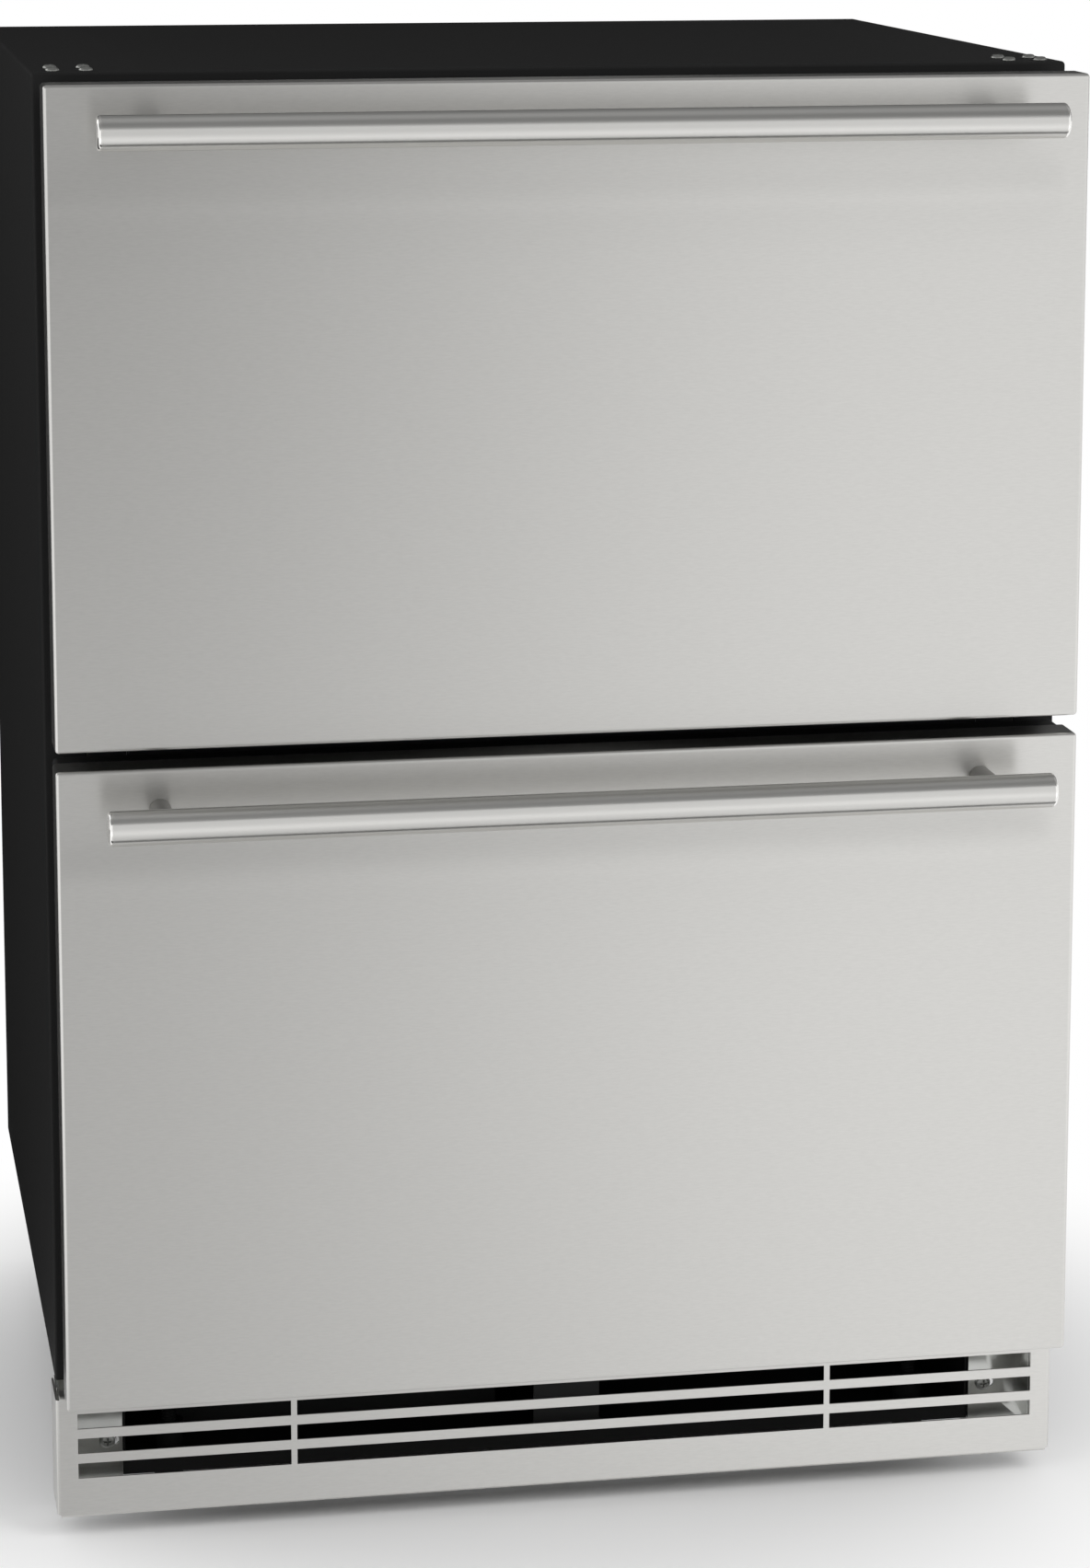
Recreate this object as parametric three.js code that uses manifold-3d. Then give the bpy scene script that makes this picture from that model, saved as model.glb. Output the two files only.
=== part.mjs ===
// Undercounter drawer refrigerator, in millimetres, +Z up, +X to the right, front towards -Y.
// The origin is on the floor, under the middle of the whole object's box.

import * as THREE from 'three';
import { mergeVertices } from 'three/addons/utils/BufferGeometryUtils.js';
import Module from 'manifold-3d';

const wasm = await Module();
wasm.setup();

// ---------------------------------------------------------------- driving dimensions

// Gaps between pieces.
const touchGap = 0.3;
const runningGap = 1.2;

// Cabinet.
const cabinetWidth = 605.6;
const cabinetHeight = 772.7;
const cabinetDepth = 499.8;
const shellSheet = 1;
const frontLipWidth = 25;
const sideInsulation = 45;
const topInsulation = 45;
const bottomInsulation = 45;
const backInsulation = 50;
const linerSheet = 2;
const linerFlangeSheet = 2;

// Machine compartment in the lower rear corner of the cabinet.
const compartmentDepth = 179;
const compartmentHeight = 155;
const compartmentSheet = 1.2;
const bottomSheetLap = 12;
const stepInsulation = 40;
const ventCount = 8;
const ventWidth = 340;
const ventHeight = 6;
const ventPitch = 16;
const ventFirstRise = 22;

// Base under the cabinet.
const floorToBase = 24;
const baseHeight = 70;
const baseSideInset = 40.8;
const baseSheet = 1.5;
const baseSetback = 21.8;
const baseRearSetback = 1;
const baseFrontLip = 10;

// Levelling legs.
const legInset = 30;
const legPadDiameter = 34;
const legPadThickness = 8;
const legNutAcrossFlats = 17;
const legNutHeight = 8;
const legStemDiameter = 9.6;
const legStemEngagement = 34;
const legSocketGap = 0.4;
const legSocketWall = 4;
const legSocketHeight = 20;

// Drawer fronts.
const frontSideInset = 2.8;
const frontTopInset = 3.5;
const frontBottomRise = 1.4;
const frontSpacing = 10.6;
const lowerFrontExtra = 2.6;
const skinSheet = 1;
const skinReturnDepth = 24.5;
const skinEdgeRadius = 2;
const frontThickness = 48;
const gasketThickness = 9.6;
const gasketWidth = 14;
const gasketInset = 6;

// Bar handles.
const barDiameter = 20;
const barEndInset = 26;
const barChamfer = 1.5;
const barStandoff = 42;
const barDrop = 23.7;
const postDiameter = 12.7;
const postEndInset = 33;

// Bins and their slides.
const binWall = 2;
const upperBinHeadroom = 84.1;
const upperBinFloorGap = 16;
const binRearGap = 12.4;
const lowerBinHeadroom = 47.6;
const lowerBinFloorGap = 8;
const lowerBinStepGap = 10;
const slideRearGap = 8.5;
const slideFrontSetback = 6;
const slideHeight = 45;
const slideDepth = 13.2;
const slideSheet = 1.2;
const slideLipReach = 9;
const slideRaceGap = 2.4;
const slideLayerGap = 0.8;
const slideBelowBinRim = 34;

// Rail between the two compartments.
const mullionHeight = 56;
const mullionDepth = 40;

// Toe-kick grille.
const grilleOverhang = 1.2;
const grilleHeight = 75.6;
const grilleTopDrop = 4.3;
const grilleFaceSetback = 16.7;
const grilleSheet = 1.2;
const grilleReturnDepth = 38.5;
const grilleLipDepth = 12;
const slotRows = 3;
const slotHeight = 9.2;
const slotPitch = 15.3;
const slotTopMargin = 11.5;
const slotSideMargin = 12.7;
const slotOuterWidth = 126.5;
const slotDivider = 3.7;

// Brackets that carry the grille.
const bracketSheet = 1.5;
const bracketLead = 2.6;
const bracketTail = 30;
const bracketNose = 20;
const bracketFootGap = 2;
const bracketHeadGap = 4;
const bracketScrewInset = 9.5;
const bracketScrewRise = 23.3;
const bracketScrewHead = 9.4;
const bracketScrewHeadHeight = 2.4;
const bracketScrewShank = 4;
const bracketScrewLength = 12;
const bracketHoleHeight = 6;
const bracketHoleRun = 4;

// Screws in the cabinet top, tapped into a plate below the sheet.
const topScrewHead = 8;
const topScrewHeadHeight = 2;
const topScrewShank = 4.4;
const topScrewHoleGap = 0.4;
const topScrewFirstColumn = 12.7;
const topScrewColumnPitch = 19;
const topScrewFirstRow = 10;
const topScrewRowPitch = 24;
const topPlateMargin = 7;
const topPlateThickness = 3;

// Refrigeration system in the machine compartment.
const compressorRadius = 70;
const compressorDomeShare = 0.45;
const compressorFlatShare = 0.7;
const compressorHeight = 165;
const compressorSideGap = 85.5;
const compressorFootHeight = 8;
const compressorFootRadius = 9;
const compressorPlateLength = 150;
const compressorPlateWidth = 110;
const compressorPlateSheet = 3;
const condenserSideGap = 52.5;
const condenserThickness = 56;
const condenserHeight = 150;
const condenserLength = 140;
const condenserFins = 9;
const condenserRows = 3;
const coilFinSheet = 1.2;
const coilTubeDiameter = 8;
const shroudGap = 24.5;
const shroudSheet = 2.5;
const shroudMargin = 8;
const condenserFanDiameter = 126;
const condenserFanDepth = 18;
const fanHubDiameter = 34;
const fanBlades = 5;
const fanBladeSheet = 1.8;
const fanBladePitch = 32;
const fanBladeReach = 0.9;
const condenserMotorDiameter = 50;
const condenserMotorLength = 34;
const motorArmWidth = 12;
const motorArmSheet = 3;

// Parts that lie on the base.
const baffleX = 10;
const baffleSheet = 1.2;
const baffleFaceWidth = 41;
const baffleFrontGap = 4;
const drainPanWidth = 200;
const drainPanLength = 190;
const drainPanHeight = 26;
const drainPanWall = 2;
const drainPanSideGap = 35.5;
const drainPanSetback = 60;
const controlBoxWidth = 150;
const controlBoxLength = 110;
const controlBoxHeight = 40;
const controlBoxSideGap = 40.5;
const controlBoxSetback = 150;
const inletWidth = 48;
const inletHeight = 28;
const inletDepth = 22;
const inletFlange = 4;
const inletRecess = 14;
const inletRim = 6;
const inletX = 40;
const inletRise = 22;

// Evaporator behind its cover in the upper compartment.
const coverWidth = 340;
const coverHeight = 270;
const coverDepth = 52;
const coverSheet = 2;
const coverTopGap = 19;
const coverSlots = 4;
const coverSlotWidth = 240;
const coverSlotHeight = 6;
const coverSlotPitch = 14;
const coverSlotRise = 18;
const evaporatorWidth = 280;
const evaporatorHeight = 120;
const evaporatorThickness = 28;
const evaporatorFins = 10;
const evaporatorRows = 2;
const evaporatorRise = 16;
const coverFanDrop = 62;
const coverFanDiameter = 88;
const coverFanDepth = 12;
const fanTipGap = 3;
const coverMotorDiameter = 36;
const coverMotorLength = 16;

// Lamp and touch panel under the liner's ceiling.
const lampWidth = 220;
const lampLength = 14;
const lampHeight = 8;
const lampSetback = 14;
const panelWidth = 96;
const panelLength = 30;
const panelHeight = 7;
const panelSideGap = 21.8;

// Flat sides that stand for a round form.
const coarseFacets = 12;
const facets = 16;
const fineFacets = 24;
const wideFacets = 36;
const hexagonSides = 6;
const compressorDomeSteps = 5;

// ---------------------------------------------------------------- derived places

const barRadius = barDiameter / 2;
const doorStack = frontThickness + gasketThickness + 2 * touchGap;
const wholeDepth = barStandoff + barRadius + doorStack + cabinetDepth;
const faceY = barStandoff + barRadius - wholeDepth / 2;
const cabinetFrontY = faceY + doorStack;
const cabinetRearY = cabinetFrontY + cabinetDepth;
const cabinetHalf = cabinetWidth / 2;
const cabinetBottomZ = floorToBase + baseHeight + touchGap;
const cabinetTopZ = cabinetBottomZ + cabinetHeight;
const shellInnerHalf = cabinetHalf - shellSheet;
const panelHalf = shellInnerHalf - touchGap;
const bottomSheetTopZ = cabinetBottomZ + shellSheet;

const linerHalf = shellInnerHalf - sideInsulation;
const linerInnerHalf = linerHalf - linerSheet;
const linerTopZ = cabinetTopZ - shellSheet - topInsulation;
const ceilingZ = linerTopZ - linerSheet;
const linerBottomZ = bottomSheetTopZ + bottomInsulation;
const linerFloorZ = linerBottomZ + linerSheet;
const linerRearY = cabinetRearY - shellSheet - backInsulation;
const linerBackFaceY = linerRearY - linerSheet;

const compartmentFrontY = cabinetRearY - compartmentDepth;
const compartmentTopZ = cabinetBottomZ + compartmentHeight;
const stepFrontY = compartmentFrontY - stepInsulation;
const stepTopZ = compartmentTopZ + stepInsulation;

const baseHalf = cabinetHalf - baseSideInset;
const baseFrontY = cabinetFrontY + baseSetback;
const baseRearY = cabinetRearY - baseRearSetback;
const baseFloorZ = floorToBase + baseSheet;
const baseTopZ = floorToBase + baseHeight;

const frontWidth = cabinetWidth - 2 * frontSideInset;
const lowerFrontBottomZ = cabinetBottomZ + frontBottomRise;
const upperFrontTopZ = cabinetTopZ - frontTopInset;
const frontsHeight = upperFrontTopZ - lowerFrontBottomZ - frontSpacing;
const upperFrontHeight = (frontsHeight - lowerFrontExtra) / 2;
const upperFrontBottomZ = upperFrontTopZ - upperFrontHeight;
const lowerFrontTopZ = upperFrontBottomZ - frontSpacing;
const frontRearY = faceY + frontThickness;
const barLength = frontWidth - 2 * barEndInset;
const postSpacing = barLength - 2 * postEndInset;

const mullionZ = upperFrontBottomZ - frontSpacing / 2;
const mullionTopZ = mullionZ + mullionHeight / 2;

const binHalf = linerInnerHalf - touchGap - slideDepth - touchGap;
const coverTopZ = ceilingZ - coverTopGap;
const coverBottomZ = coverTopZ - coverHeight;
const coverRearY = linerBackFaceY - touchGap;
const coverFrontY = coverRearY - coverDepth;
const coverFanZ = coverTopZ - coverFanDrop;
const binFrontY = frontRearY + touchGap;
const binRearY = coverFrontY - binRearGap;
const upperBinBottomZ = mullionTopZ + upperBinFloorGap;
const upperBinTopZ = ceilingZ - upperBinHeadroom;
const lowerBinBottomZ = linerFloorZ + lowerBinFloorGap;
const lowerBinTopZ = mullionTopZ - mullionHeight - lowerBinHeadroom;
const slideFrontY = cabinetFrontY + slideFrontSetback;
const slideRearY = coverFrontY - slideRearGap;

const fanAxisY = (compartmentFrontY + compartmentSheet + cabinetRearY - shellSheet) / 2;
const fanAxisZ = baseFloorZ + touchGap + shroudMargin + fanTipGap + condenserFanDiameter / 2;
const baseInnerHalf = baseHalf - baseSheet;
const compressorX = compressorSideGap + compressorPlateLength / 2 - baseInnerHalf;
const condenserX = baseInnerHalf - condenserSideGap - condenserThickness / 2;
const shroudX = condenserX - condenserThickness / 2 - shroudGap - shroudSheet;
const drainPanX = drainPanSideGap + drainPanWidth / 2 - baseInnerHalf;
const controlBoxX = baseInnerHalf - controlBoxSideGap - controlBoxWidth / 2;
const panelX = linerInnerHalf - panelSideGap - panelWidth / 2;

// ---------------------------------------------------------------- finishes

const finishes = {
  stainless: { color: 0xc4c3c0, roughness: 0.32, metalness: 1 },
  polishedStainless: { color: 0xcfcecb, roughness: 0.2, metalness: 1 },
  blackPaint: { color: 0x222222, roughness: 0.55, metalness: 0.1 },
  blackPlastic: { color: 0x1c1c1c, roughness: 0.6, metalness: 0 },
  rubber: { color: 0x161616, roughness: 0.85, metalness: 0 },
  galvanised: { color: 0x9c9c98, roughness: 0.45, metalness: 0.9 },
  zinc: { color: 0xc8c8c6, roughness: 0.3, metalness: 1 },
  greyPlastic: { color: 0xb9babb, roughness: 0.5, metalness: 0 },
  whitePlastic: { color: 0xe4e4e2, roughness: 0.45, metalness: 0 },
  foam: { color: 0xd9cfa8, roughness: 0.95, metalness: 0 },
  copper: { color: 0xb5673c, roughness: 0.35, metalness: 1 },
  aluminium: { color: 0xb6b8ba, roughness: 0.4, metalness: 1 },
  lens: { color: 0xf2f2ee, roughness: 0.3, metalness: 0 },
};

// ---------------------------------------------------------------- geometry helpers

const refrigerator = new THREE.Group();

function addPiece(name, geometry, finish, parent) {
  const mesh = new THREE.Mesh(geometry, new THREE.MeshStandardMaterial(finishes[finish]));
  mesh.name = name;
  parent.add(mesh);
  return mesh;
}

function addBody() {
  const body = new THREE.Group();
  refrigerator.add(body);
  return body;
}

// A closed geometry as a solid for joining and cutting.
function toSolid(geometry) {
  const bare = geometry.clone();
  bare.deleteAttribute('normal');
  bare.deleteAttribute('uv');
  const merged = mergeVertices(bare, 1e-4);
  const vertProperties = new Float32Array(merged.attributes.position.array);
  const triVerts = new Uint32Array(merged.index.array);
  return new wasm.Manifold(new wasm.Mesh({ numProp: 3, vertProperties, triVerts }));
}

function toGeometry(solid) {
  const { vertProperties, triVerts } = solid.getMesh();
  const geometry = new THREE.BufferGeometry();
  geometry.setAttribute('position', new THREE.BufferAttribute(new Float32Array(vertProperties), 3));
  geometry.setIndex(new THREE.BufferAttribute(new Uint32Array(triVerts), 1));
  geometry.computeVertexNormals();
  return geometry;
}

function join(first, ...others) {
  const start = toSolid(first);
  return toGeometry(others.reduce((sum, other) => sum.add(toSolid(other)), start));
}

function cut(body, ...tools) {
  const start = toSolid(body);
  return toGeometry(tools.reduce((rest, tool) => rest.subtract(toSolid(tool)), start));
}

function common(first, second) {
  return toGeometry(toSolid(first).intersect(toSolid(second)));
}

// A box between two values on each axis.
function block(x, y, z) {
  const box = new THREE.BoxGeometry(x[1] - x[0], y[1] - y[0], z[1] - z[0]);
  return box.translate((x[0] + x[1]) / 2, (y[0] + y[1]) / 2, (z[0] + z[1]) / 2);
}

function outline(points) {
  return new THREE.Shape(points.map(([a, b]) => new THREE.Vector2(a, b)));
}

// An outline drawn in the XY plane, carried up from z[0] to z[1].
function carryZ(shape, z) {
  const geometry = new THREE.ExtrudeGeometry(shape, { depth: z[1] - z[0], bevelEnabled: false });
  return geometry.translate(0, 0, z[0]);
}

// An outline drawn in the XZ plane, carried from y[0] to y[1].
function carryY(shape, y) {
  const geometry = new THREE.ExtrudeGeometry(shape, { depth: y[1] - y[0], bevelEnabled: false });
  return geometry.rotateX(Math.PI / 2).translate(0, y[1], 0);
}

// An outline drawn in the YZ plane, carried from x[0] to x[1].
function carryX(shape, x) {
  const geometry = new THREE.ExtrudeGeometry(shape, { depth: x[1] - x[0], bevelEnabled: false });
  const turn = new THREE.Matrix4().set(0, 0, 1, x[0], 1, 0, 0, 0, 0, 1, 0, 0, 0, 0, 0, 1);
  return geometry.applyMatrix4(turn);
}

// A round bar between two values along one axis, centred on the other two.
function rod(axis, span, centre, diameter, sides) {
  const geometry = new THREE.CylinderGeometry(diameter / 2, diameter / 2, span[1] - span[0], sides);
  const middle = (span[0] + span[1]) / 2;
  if (axis === 'x') {
    return geometry.rotateZ(Math.PI / 2).translate(middle, centre[0], centre[1]);
  }
  if (axis === 'y') {
    return geometry.translate(centre[0], middle, centre[1]);
  }
  return geometry.rotateX(Math.PI / 2).translate(centre[0], centre[1], middle);
}

// A rectangle whose first edge, on the low side of the first coordinate, has two round corners.
function foldedOutline(depth, span, radius) {
  const shape = new THREE.Shape();
  shape.moveTo(depth[1], span[0]);
  shape.lineTo(depth[1], span[1]);
  shape.lineTo(depth[0] + radius, span[1]);
  shape.absarc(depth[0] + radius, span[1] - radius, radius, Math.PI / 2, Math.PI, false);
  shape.lineTo(depth[0], span[0] + radius);
  shape.absarc(depth[0] + radius, span[0] + radius, radius, Math.PI, 1.5 * Math.PI, false);
  shape.closePath();
  return shape;
}

// A block folded from sheet: its front edges are rounded along all four sides.
function foldedBlock(x, y, z, radius) {
  const upright = foldedOutline(y, z, radius);
  const flat = foldedOutline(y, x, radius);
  const curveSteps = 4;
  const width = x[1] - x[0];
  const height = z[1] - z[0];
  const alongX = new THREE.ExtrudeGeometry(upright, {
    depth: width,
    bevelEnabled: false,
    curveSegments: curveSteps,
  });
  alongX.applyMatrix4(new THREE.Matrix4().set(0, 0, 1, x[0], 1, 0, 0, 0, 0, 1, 0, 0, 0, 0, 0, 1));
  const alongZ = new THREE.ExtrudeGeometry(flat, {
    depth: height,
    bevelEnabled: false,
    curveSegments: curveSteps,
  });
  alongZ.applyMatrix4(new THREE.Matrix4().set(0, 1, 0, 0, 1, 0, 0, 0, 0, 0, -1, z[1], 0, 0, 0, 1));
  return common(alongX, alongZ);
}

// ---------------------------------------------------------------- cabinet

function outerShell(screwPlaces) {
  const body = block(
    [-cabinetHalf, cabinetHalf],
    [cabinetFrontY, cabinetRearY],
    [cabinetBottomZ, cabinetTopZ],
  );
  const room = block(
    [-shellInnerHalf, shellInnerHalf],
    [cabinetFrontY + shellSheet, cabinetRearY + shellSheet],
    [cabinetBottomZ - shellSheet, cabinetTopZ - shellSheet],
  );
  const mouth = block(
    [-cabinetHalf + frontLipWidth, cabinetHalf - frontLipWidth],
    [cabinetFrontY - shellSheet, cabinetFrontY + 2 * shellSheet],
    [cabinetBottomZ - shellSheet, cabinetTopZ - frontLipWidth],
  );
  const holes = screwPlaces.map((place) =>
    rod(
      'z',
      [cabinetTopZ - 2 * shellSheet, cabinetTopZ + shellSheet],
      place,
      topScrewShank + 2 * topScrewHoleGap,
      coarseFacets,
    ),
  );
  return cut(body, room, mouth, ...holes);
}

function backPanel() {
  const sheet = block(
    [-panelHalf, panelHalf],
    [cabinetRearY - shellSheet, cabinetRearY],
    [cabinetBottomZ, cabinetTopZ - shellSheet - touchGap],
  );
  const vents = [];
  for (let row = 0; row < ventCount; row += 1) {
    const bottom = cabinetBottomZ + ventFirstRise + row * ventPitch;
    vents.push(
      block(
        [-ventWidth / 2, ventWidth / 2],
        [cabinetRearY - 2 * shellSheet, cabinetRearY + shellSheet],
        [bottom, bottom + ventHeight],
      ),
    );
  }
  return cut(sheet, ...vents);
}

// The bottom sheet is open above the base inside the machine compartment.
function cabinetBottom() {
  const sheet = block(
    [-panelHalf, panelHalf],
    [cabinetFrontY + shellSheet + touchGap, cabinetRearY - shellSheet - touchGap],
    [cabinetBottomZ, bottomSheetTopZ],
  );
  const openHalf = baseHalf - bottomSheetLap;
  const opening = block(
    [-openHalf, openHalf],
    [compartmentFrontY + bottomSheetLap, cabinetRearY],
    [cabinetBottomZ - shellSheet, bottomSheetTopZ + shellSheet],
  );
  return cut(sheet, opening);
}

function compartmentWall() {
  const inner = compartmentFrontY + compartmentSheet;
  const rear = cabinetRearY - shellSheet - touchGap;
  const foot = bottomSheetTopZ + touchGap;
  const profile = outline([
    [compartmentFrontY, foot],
    [inner, foot],
    [inner, compartmentTopZ - compartmentSheet],
    [rear, compartmentTopZ - compartmentSheet],
    [rear, compartmentTopZ],
    [compartmentFrontY, compartmentTopZ],
  ]);
  return carryX(profile, [-panelHalf, panelHalf]);
}

function innerLiner() {
  const outside = block(
    [-linerHalf, linerHalf],
    [cabinetFrontY, linerRearY],
    [linerBottomZ, linerTopZ],
  );
  const outerStep = block([-cabinetHalf, cabinetHalf], [stepFrontY, cabinetRearY], [0, stepTopZ]);
  const inside = block(
    [-linerInnerHalf, linerInnerHalf],
    [cabinetFrontY - linerSheet, linerBackFaceY],
    [linerFloorZ, ceilingZ],
  );
  const innerStep = block(
    [-cabinetHalf, cabinetHalf],
    [stepFrontY - linerSheet, cabinetRearY],
    [0, stepTopZ + linerSheet],
  );
  const flangeHalf = cabinetHalf - frontLipWidth - touchGap;
  const flange = block(
    [-flangeHalf, flangeHalf],
    [cabinetFrontY, cabinetFrontY + linerFlangeSheet],
    [bottomSheetTopZ + touchGap, cabinetTopZ - frontLipWidth - touchGap],
  );
  const room = cut(inside, innerStep);
  return cut(join(cut(outside, outerStep), flange), room);
}

function foamInsulation(plates) {
  const outside = block(
    [-panelHalf, panelHalf],
    [cabinetFrontY + linerFlangeSheet + touchGap, cabinetRearY - shellSheet - touchGap],
    [bottomSheetTopZ + touchGap, cabinetTopZ - shellSheet - touchGap],
  );
  const linerRoom = block(
    [-linerHalf - touchGap, linerHalf + touchGap],
    [cabinetFrontY - shellSheet, linerRearY + touchGap],
    [linerBottomZ - touchGap, linerTopZ + touchGap],
  );
  const step = block(
    [-cabinetWidth, cabinetWidth],
    [stepFrontY + touchGap, cabinetRearY + shellSheet],
    [0, stepTopZ - touchGap],
  );
  const compartment = block(
    [-cabinetWidth, cabinetWidth],
    [compartmentFrontY - touchGap, cabinetRearY + shellSheet],
    [0, compartmentTopZ + touchGap],
  );
  return cut(outside, cut(linerRoom, step), compartment, ...plates);
}

function mullionRail() {
  const half = linerInnerHalf - touchGap;
  return block(
    [-half, half],
    [cabinetFrontY, cabinetFrontY + mullionDepth],
    [mullionTopZ - mullionHeight, mullionTopZ],
  );
}

// ---------------------------------------------------------------- screws in the top

function topScrewPlaces(side) {
  const places = [];
  for (let column = 0; column < 2; column += 1) {
    for (let row = 0; row < 2; row += 1) {
      places.push([
        side * (cabinetHalf - topScrewFirstColumn - column * topScrewColumnPitch),
        cabinetFrontY + topScrewFirstRow + row * topScrewRowPitch,
      ]);
    }
  }
  return places;
}

// The tapped plate below the top sheet, grown by a gap on every side.
function topPlate(side, grow) {
  const outer = cabinetHalf - topScrewFirstColumn + topPlateMargin;
  const inner = outer - topScrewColumnPitch - 2 * topPlateMargin;
  const front = cabinetFrontY + topScrewFirstRow - topPlateMargin;
  const rear = front + topScrewRowPitch + 2 * topPlateMargin;
  const top = cabinetTopZ - shellSheet - touchGap;
  const across = side > 0 ? [inner - grow, outer + grow] : [-outer - grow, -inner + grow];
  return block(across, [front - grow, rear + grow], [top - topPlateThickness - grow, top + grow]);
}

function topScrews(side) {
  const seat = cabinetTopZ + touchGap;
  const screws = topScrewPlaces(side).flatMap((place) => [
    rod('z', [seat, seat + topScrewHeadHeight], place, topScrewHead, facets),
    rod(
      'z',
      [cabinetTopZ - topPlateThickness, seat + topScrewHeadHeight / 2],
      place,
      topScrewShank,
      coarseFacets,
    ),
  ]);
  return join(topPlate(side, 0), ...screws);
}

// ---------------------------------------------------------------- base, legs and grille

function legPlaces() {
  const x = baseHalf - legInset;
  const front = baseFrontY + legInset;
  const rear = baseRearY - legInset;
  return [
    ['front_left', -x, front],
    ['front_right', x, front],
    ['rear_left', -x, rear],
    ['rear_right', x, rear],
  ];
}

const legHoleDiameter = legStemDiameter + 2 * legSocketGap;

function basePan() {
  const body = block([-baseHalf, baseHalf], [baseFrontY, baseRearY], [floorToBase, baseTopZ]);
  const room = block(
    [-baseHalf + baseSheet, baseHalf - baseSheet],
    [baseFrontY + baseSheet, baseRearY - baseSheet],
    [baseFloorZ, baseTopZ + baseSheet],
  );
  const mouth = block(
    [-baseHalf + baseSheet, baseHalf - baseSheet],
    [baseFrontY - baseSheet, baseFrontY + 2 * baseSheet],
    [baseFloorZ + baseFrontLip, baseTopZ + baseSheet],
  );
  const inletHole = block(
    [inletX - inletWidth / 2 - touchGap, inletX + inletWidth / 2 + touchGap],
    [baseRearY - 2 * baseSheet, baseRearY + baseSheet],
    [baseFloorZ + inletRise - touchGap, baseFloorZ + inletRise + inletHeight + touchGap],
  );
  const sockets = legPlaces().map(([, x, y]) =>
    rod(
      'z',
      [floorToBase, baseFloorZ + legSocketHeight],
      [x, y],
      legHoleDiameter + 2 * legSocketWall,
      facets,
    ),
  );
  const holes = legPlaces().map(([, x, y]) =>
    rod(
      'z',
      [floorToBase - baseSheet, baseFloorZ + legSocketHeight + baseSheet],
      [x, y],
      legHoleDiameter,
      facets,
    ),
  );
  return cut(join(cut(body, room, mouth, inletHole), ...sockets), ...holes);
}

function levellingLeg(x, y) {
  const pad = rod('z', [0, legPadThickness], [x, y], legPadDiameter, fineFacets);
  const nutTop = legPadThickness + legNutHeight;
  const nutAcrossCorners = legNutAcrossFlats / Math.cos(Math.PI / hexagonSides);
  const nut = rod('z', [legPadThickness / 2, nutTop], [x, y], nutAcrossCorners, hexagonSides);
  const stem = rod('z', [nutTop / 2, floorToBase + legStemEngagement], [x, y], legStemDiameter, facets);
  return join(pad, nut, stem);
}

const grilleHalf = cabinetHalf + grilleOverhang;
const grilleTopZ = cabinetBottomZ - grilleTopDrop;
const grilleBottomZ = grilleTopZ - grilleHeight;
const grilleFaceY = cabinetFrontY - grilleFaceSetback;
const grilleRearY = grilleFaceY + grilleReturnDepth;

function toeKickGrille() {
  const body = block([-grilleHalf, grilleHalf], [grilleFaceY, grilleRearY], [grilleBottomZ, grilleTopZ]);
  const room = block(
    [-grilleHalf + grilleSheet, grilleHalf - grilleSheet],
    [grilleFaceY + grilleSheet, grilleRearY + grilleSheet],
    [grilleBottomZ + grilleSheet, grilleTopZ - grilleSheet],
  );
  const lipTrim = [grilleTopZ - 2 * grilleSheet, grilleBottomZ - grilleSheet].map((low) =>
    block(
      [-grilleHalf + grilleSheet, grilleHalf - grilleSheet],
      [grilleFaceY + grilleLipDepth, grilleRearY + grilleSheet],
      [low, low + 3 * grilleSheet],
    ),
  );
  const first = -grilleHalf + slotSideMargin;
  const innerLeft = first + slotOuterWidth;
  const columns = [
    [first, innerLeft],
    [innerLeft + slotDivider, -innerLeft - slotDivider],
    [-innerLeft, -first],
  ];
  const slots = [];
  for (let row = 0; row < slotRows; row += 1) {
    const top = grilleTopZ - slotTopMargin - row * slotPitch;
    for (const column of columns) {
      slots.push(
        block(
          column,
          [grilleFaceY - grilleSheet, grilleFaceY + 2 * grilleSheet],
          [top - slotHeight, top],
        ),
      );
    }
  }
  return cut(body, room, ...lipTrim, ...slots);
}

const bracketFaceY = baseFrontY - bracketLead;
const bracketBottomZ = grilleBottomZ + grilleSheet + bracketFootGap;
const bracketTopZ = baseTopZ - bracketHeadGap;
const bracketRootX = baseHalf + touchGap;
const bracketScrewX = baseHalf + bracketScrewInset;
const bracketScrewZ = floorToBase + bracketScrewRise;

// A strip bent from a tail along the base, across the front, and forward beside the grille's
// return. A long hole leaves its screw room to slide to one side.
function grilleBracket(side) {
  const tip = grilleHalf - grilleSheet - touchGap;
  const face = bracketFaceY;
  const back = face + bracketSheet;
  const low = bracketRootX;
  const profile = outline([
    [low, back + bracketTail],
    [low, face],
    [tip - bracketSheet, face],
    [tip - bracketSheet, face - bracketNose],
    [tip, face - bracketNose],
    [tip, back],
    [low + bracketSheet, back],
    [low + bracketSheet, back + bracketTail],
  ]);
  const strip = carryZ(profile, [bracketBottomZ, bracketTopZ]);
  const through = [face - bracketSheet, back + bracketSheet];
  const run = side > 0 ? [0, bracketHoleRun] : [-bracketHoleRun, 0];
  const holeX = run.map((offset) => bracketScrewX + offset);
  const holeEnds = holeX.map((x) =>
    rod('y', through, [x, bracketScrewZ], bracketHoleHeight, facets),
  );
  const holeMiddle = block(
    holeX,
    through,
    [bracketScrewZ - bracketHoleHeight / 2, bracketScrewZ + bracketHoleHeight / 2],
  );
  const bracket = cut(strip, ...holeEnds, holeMiddle);
  return side > 0 ? bracket : mirrorX(bracket);
}

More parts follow.
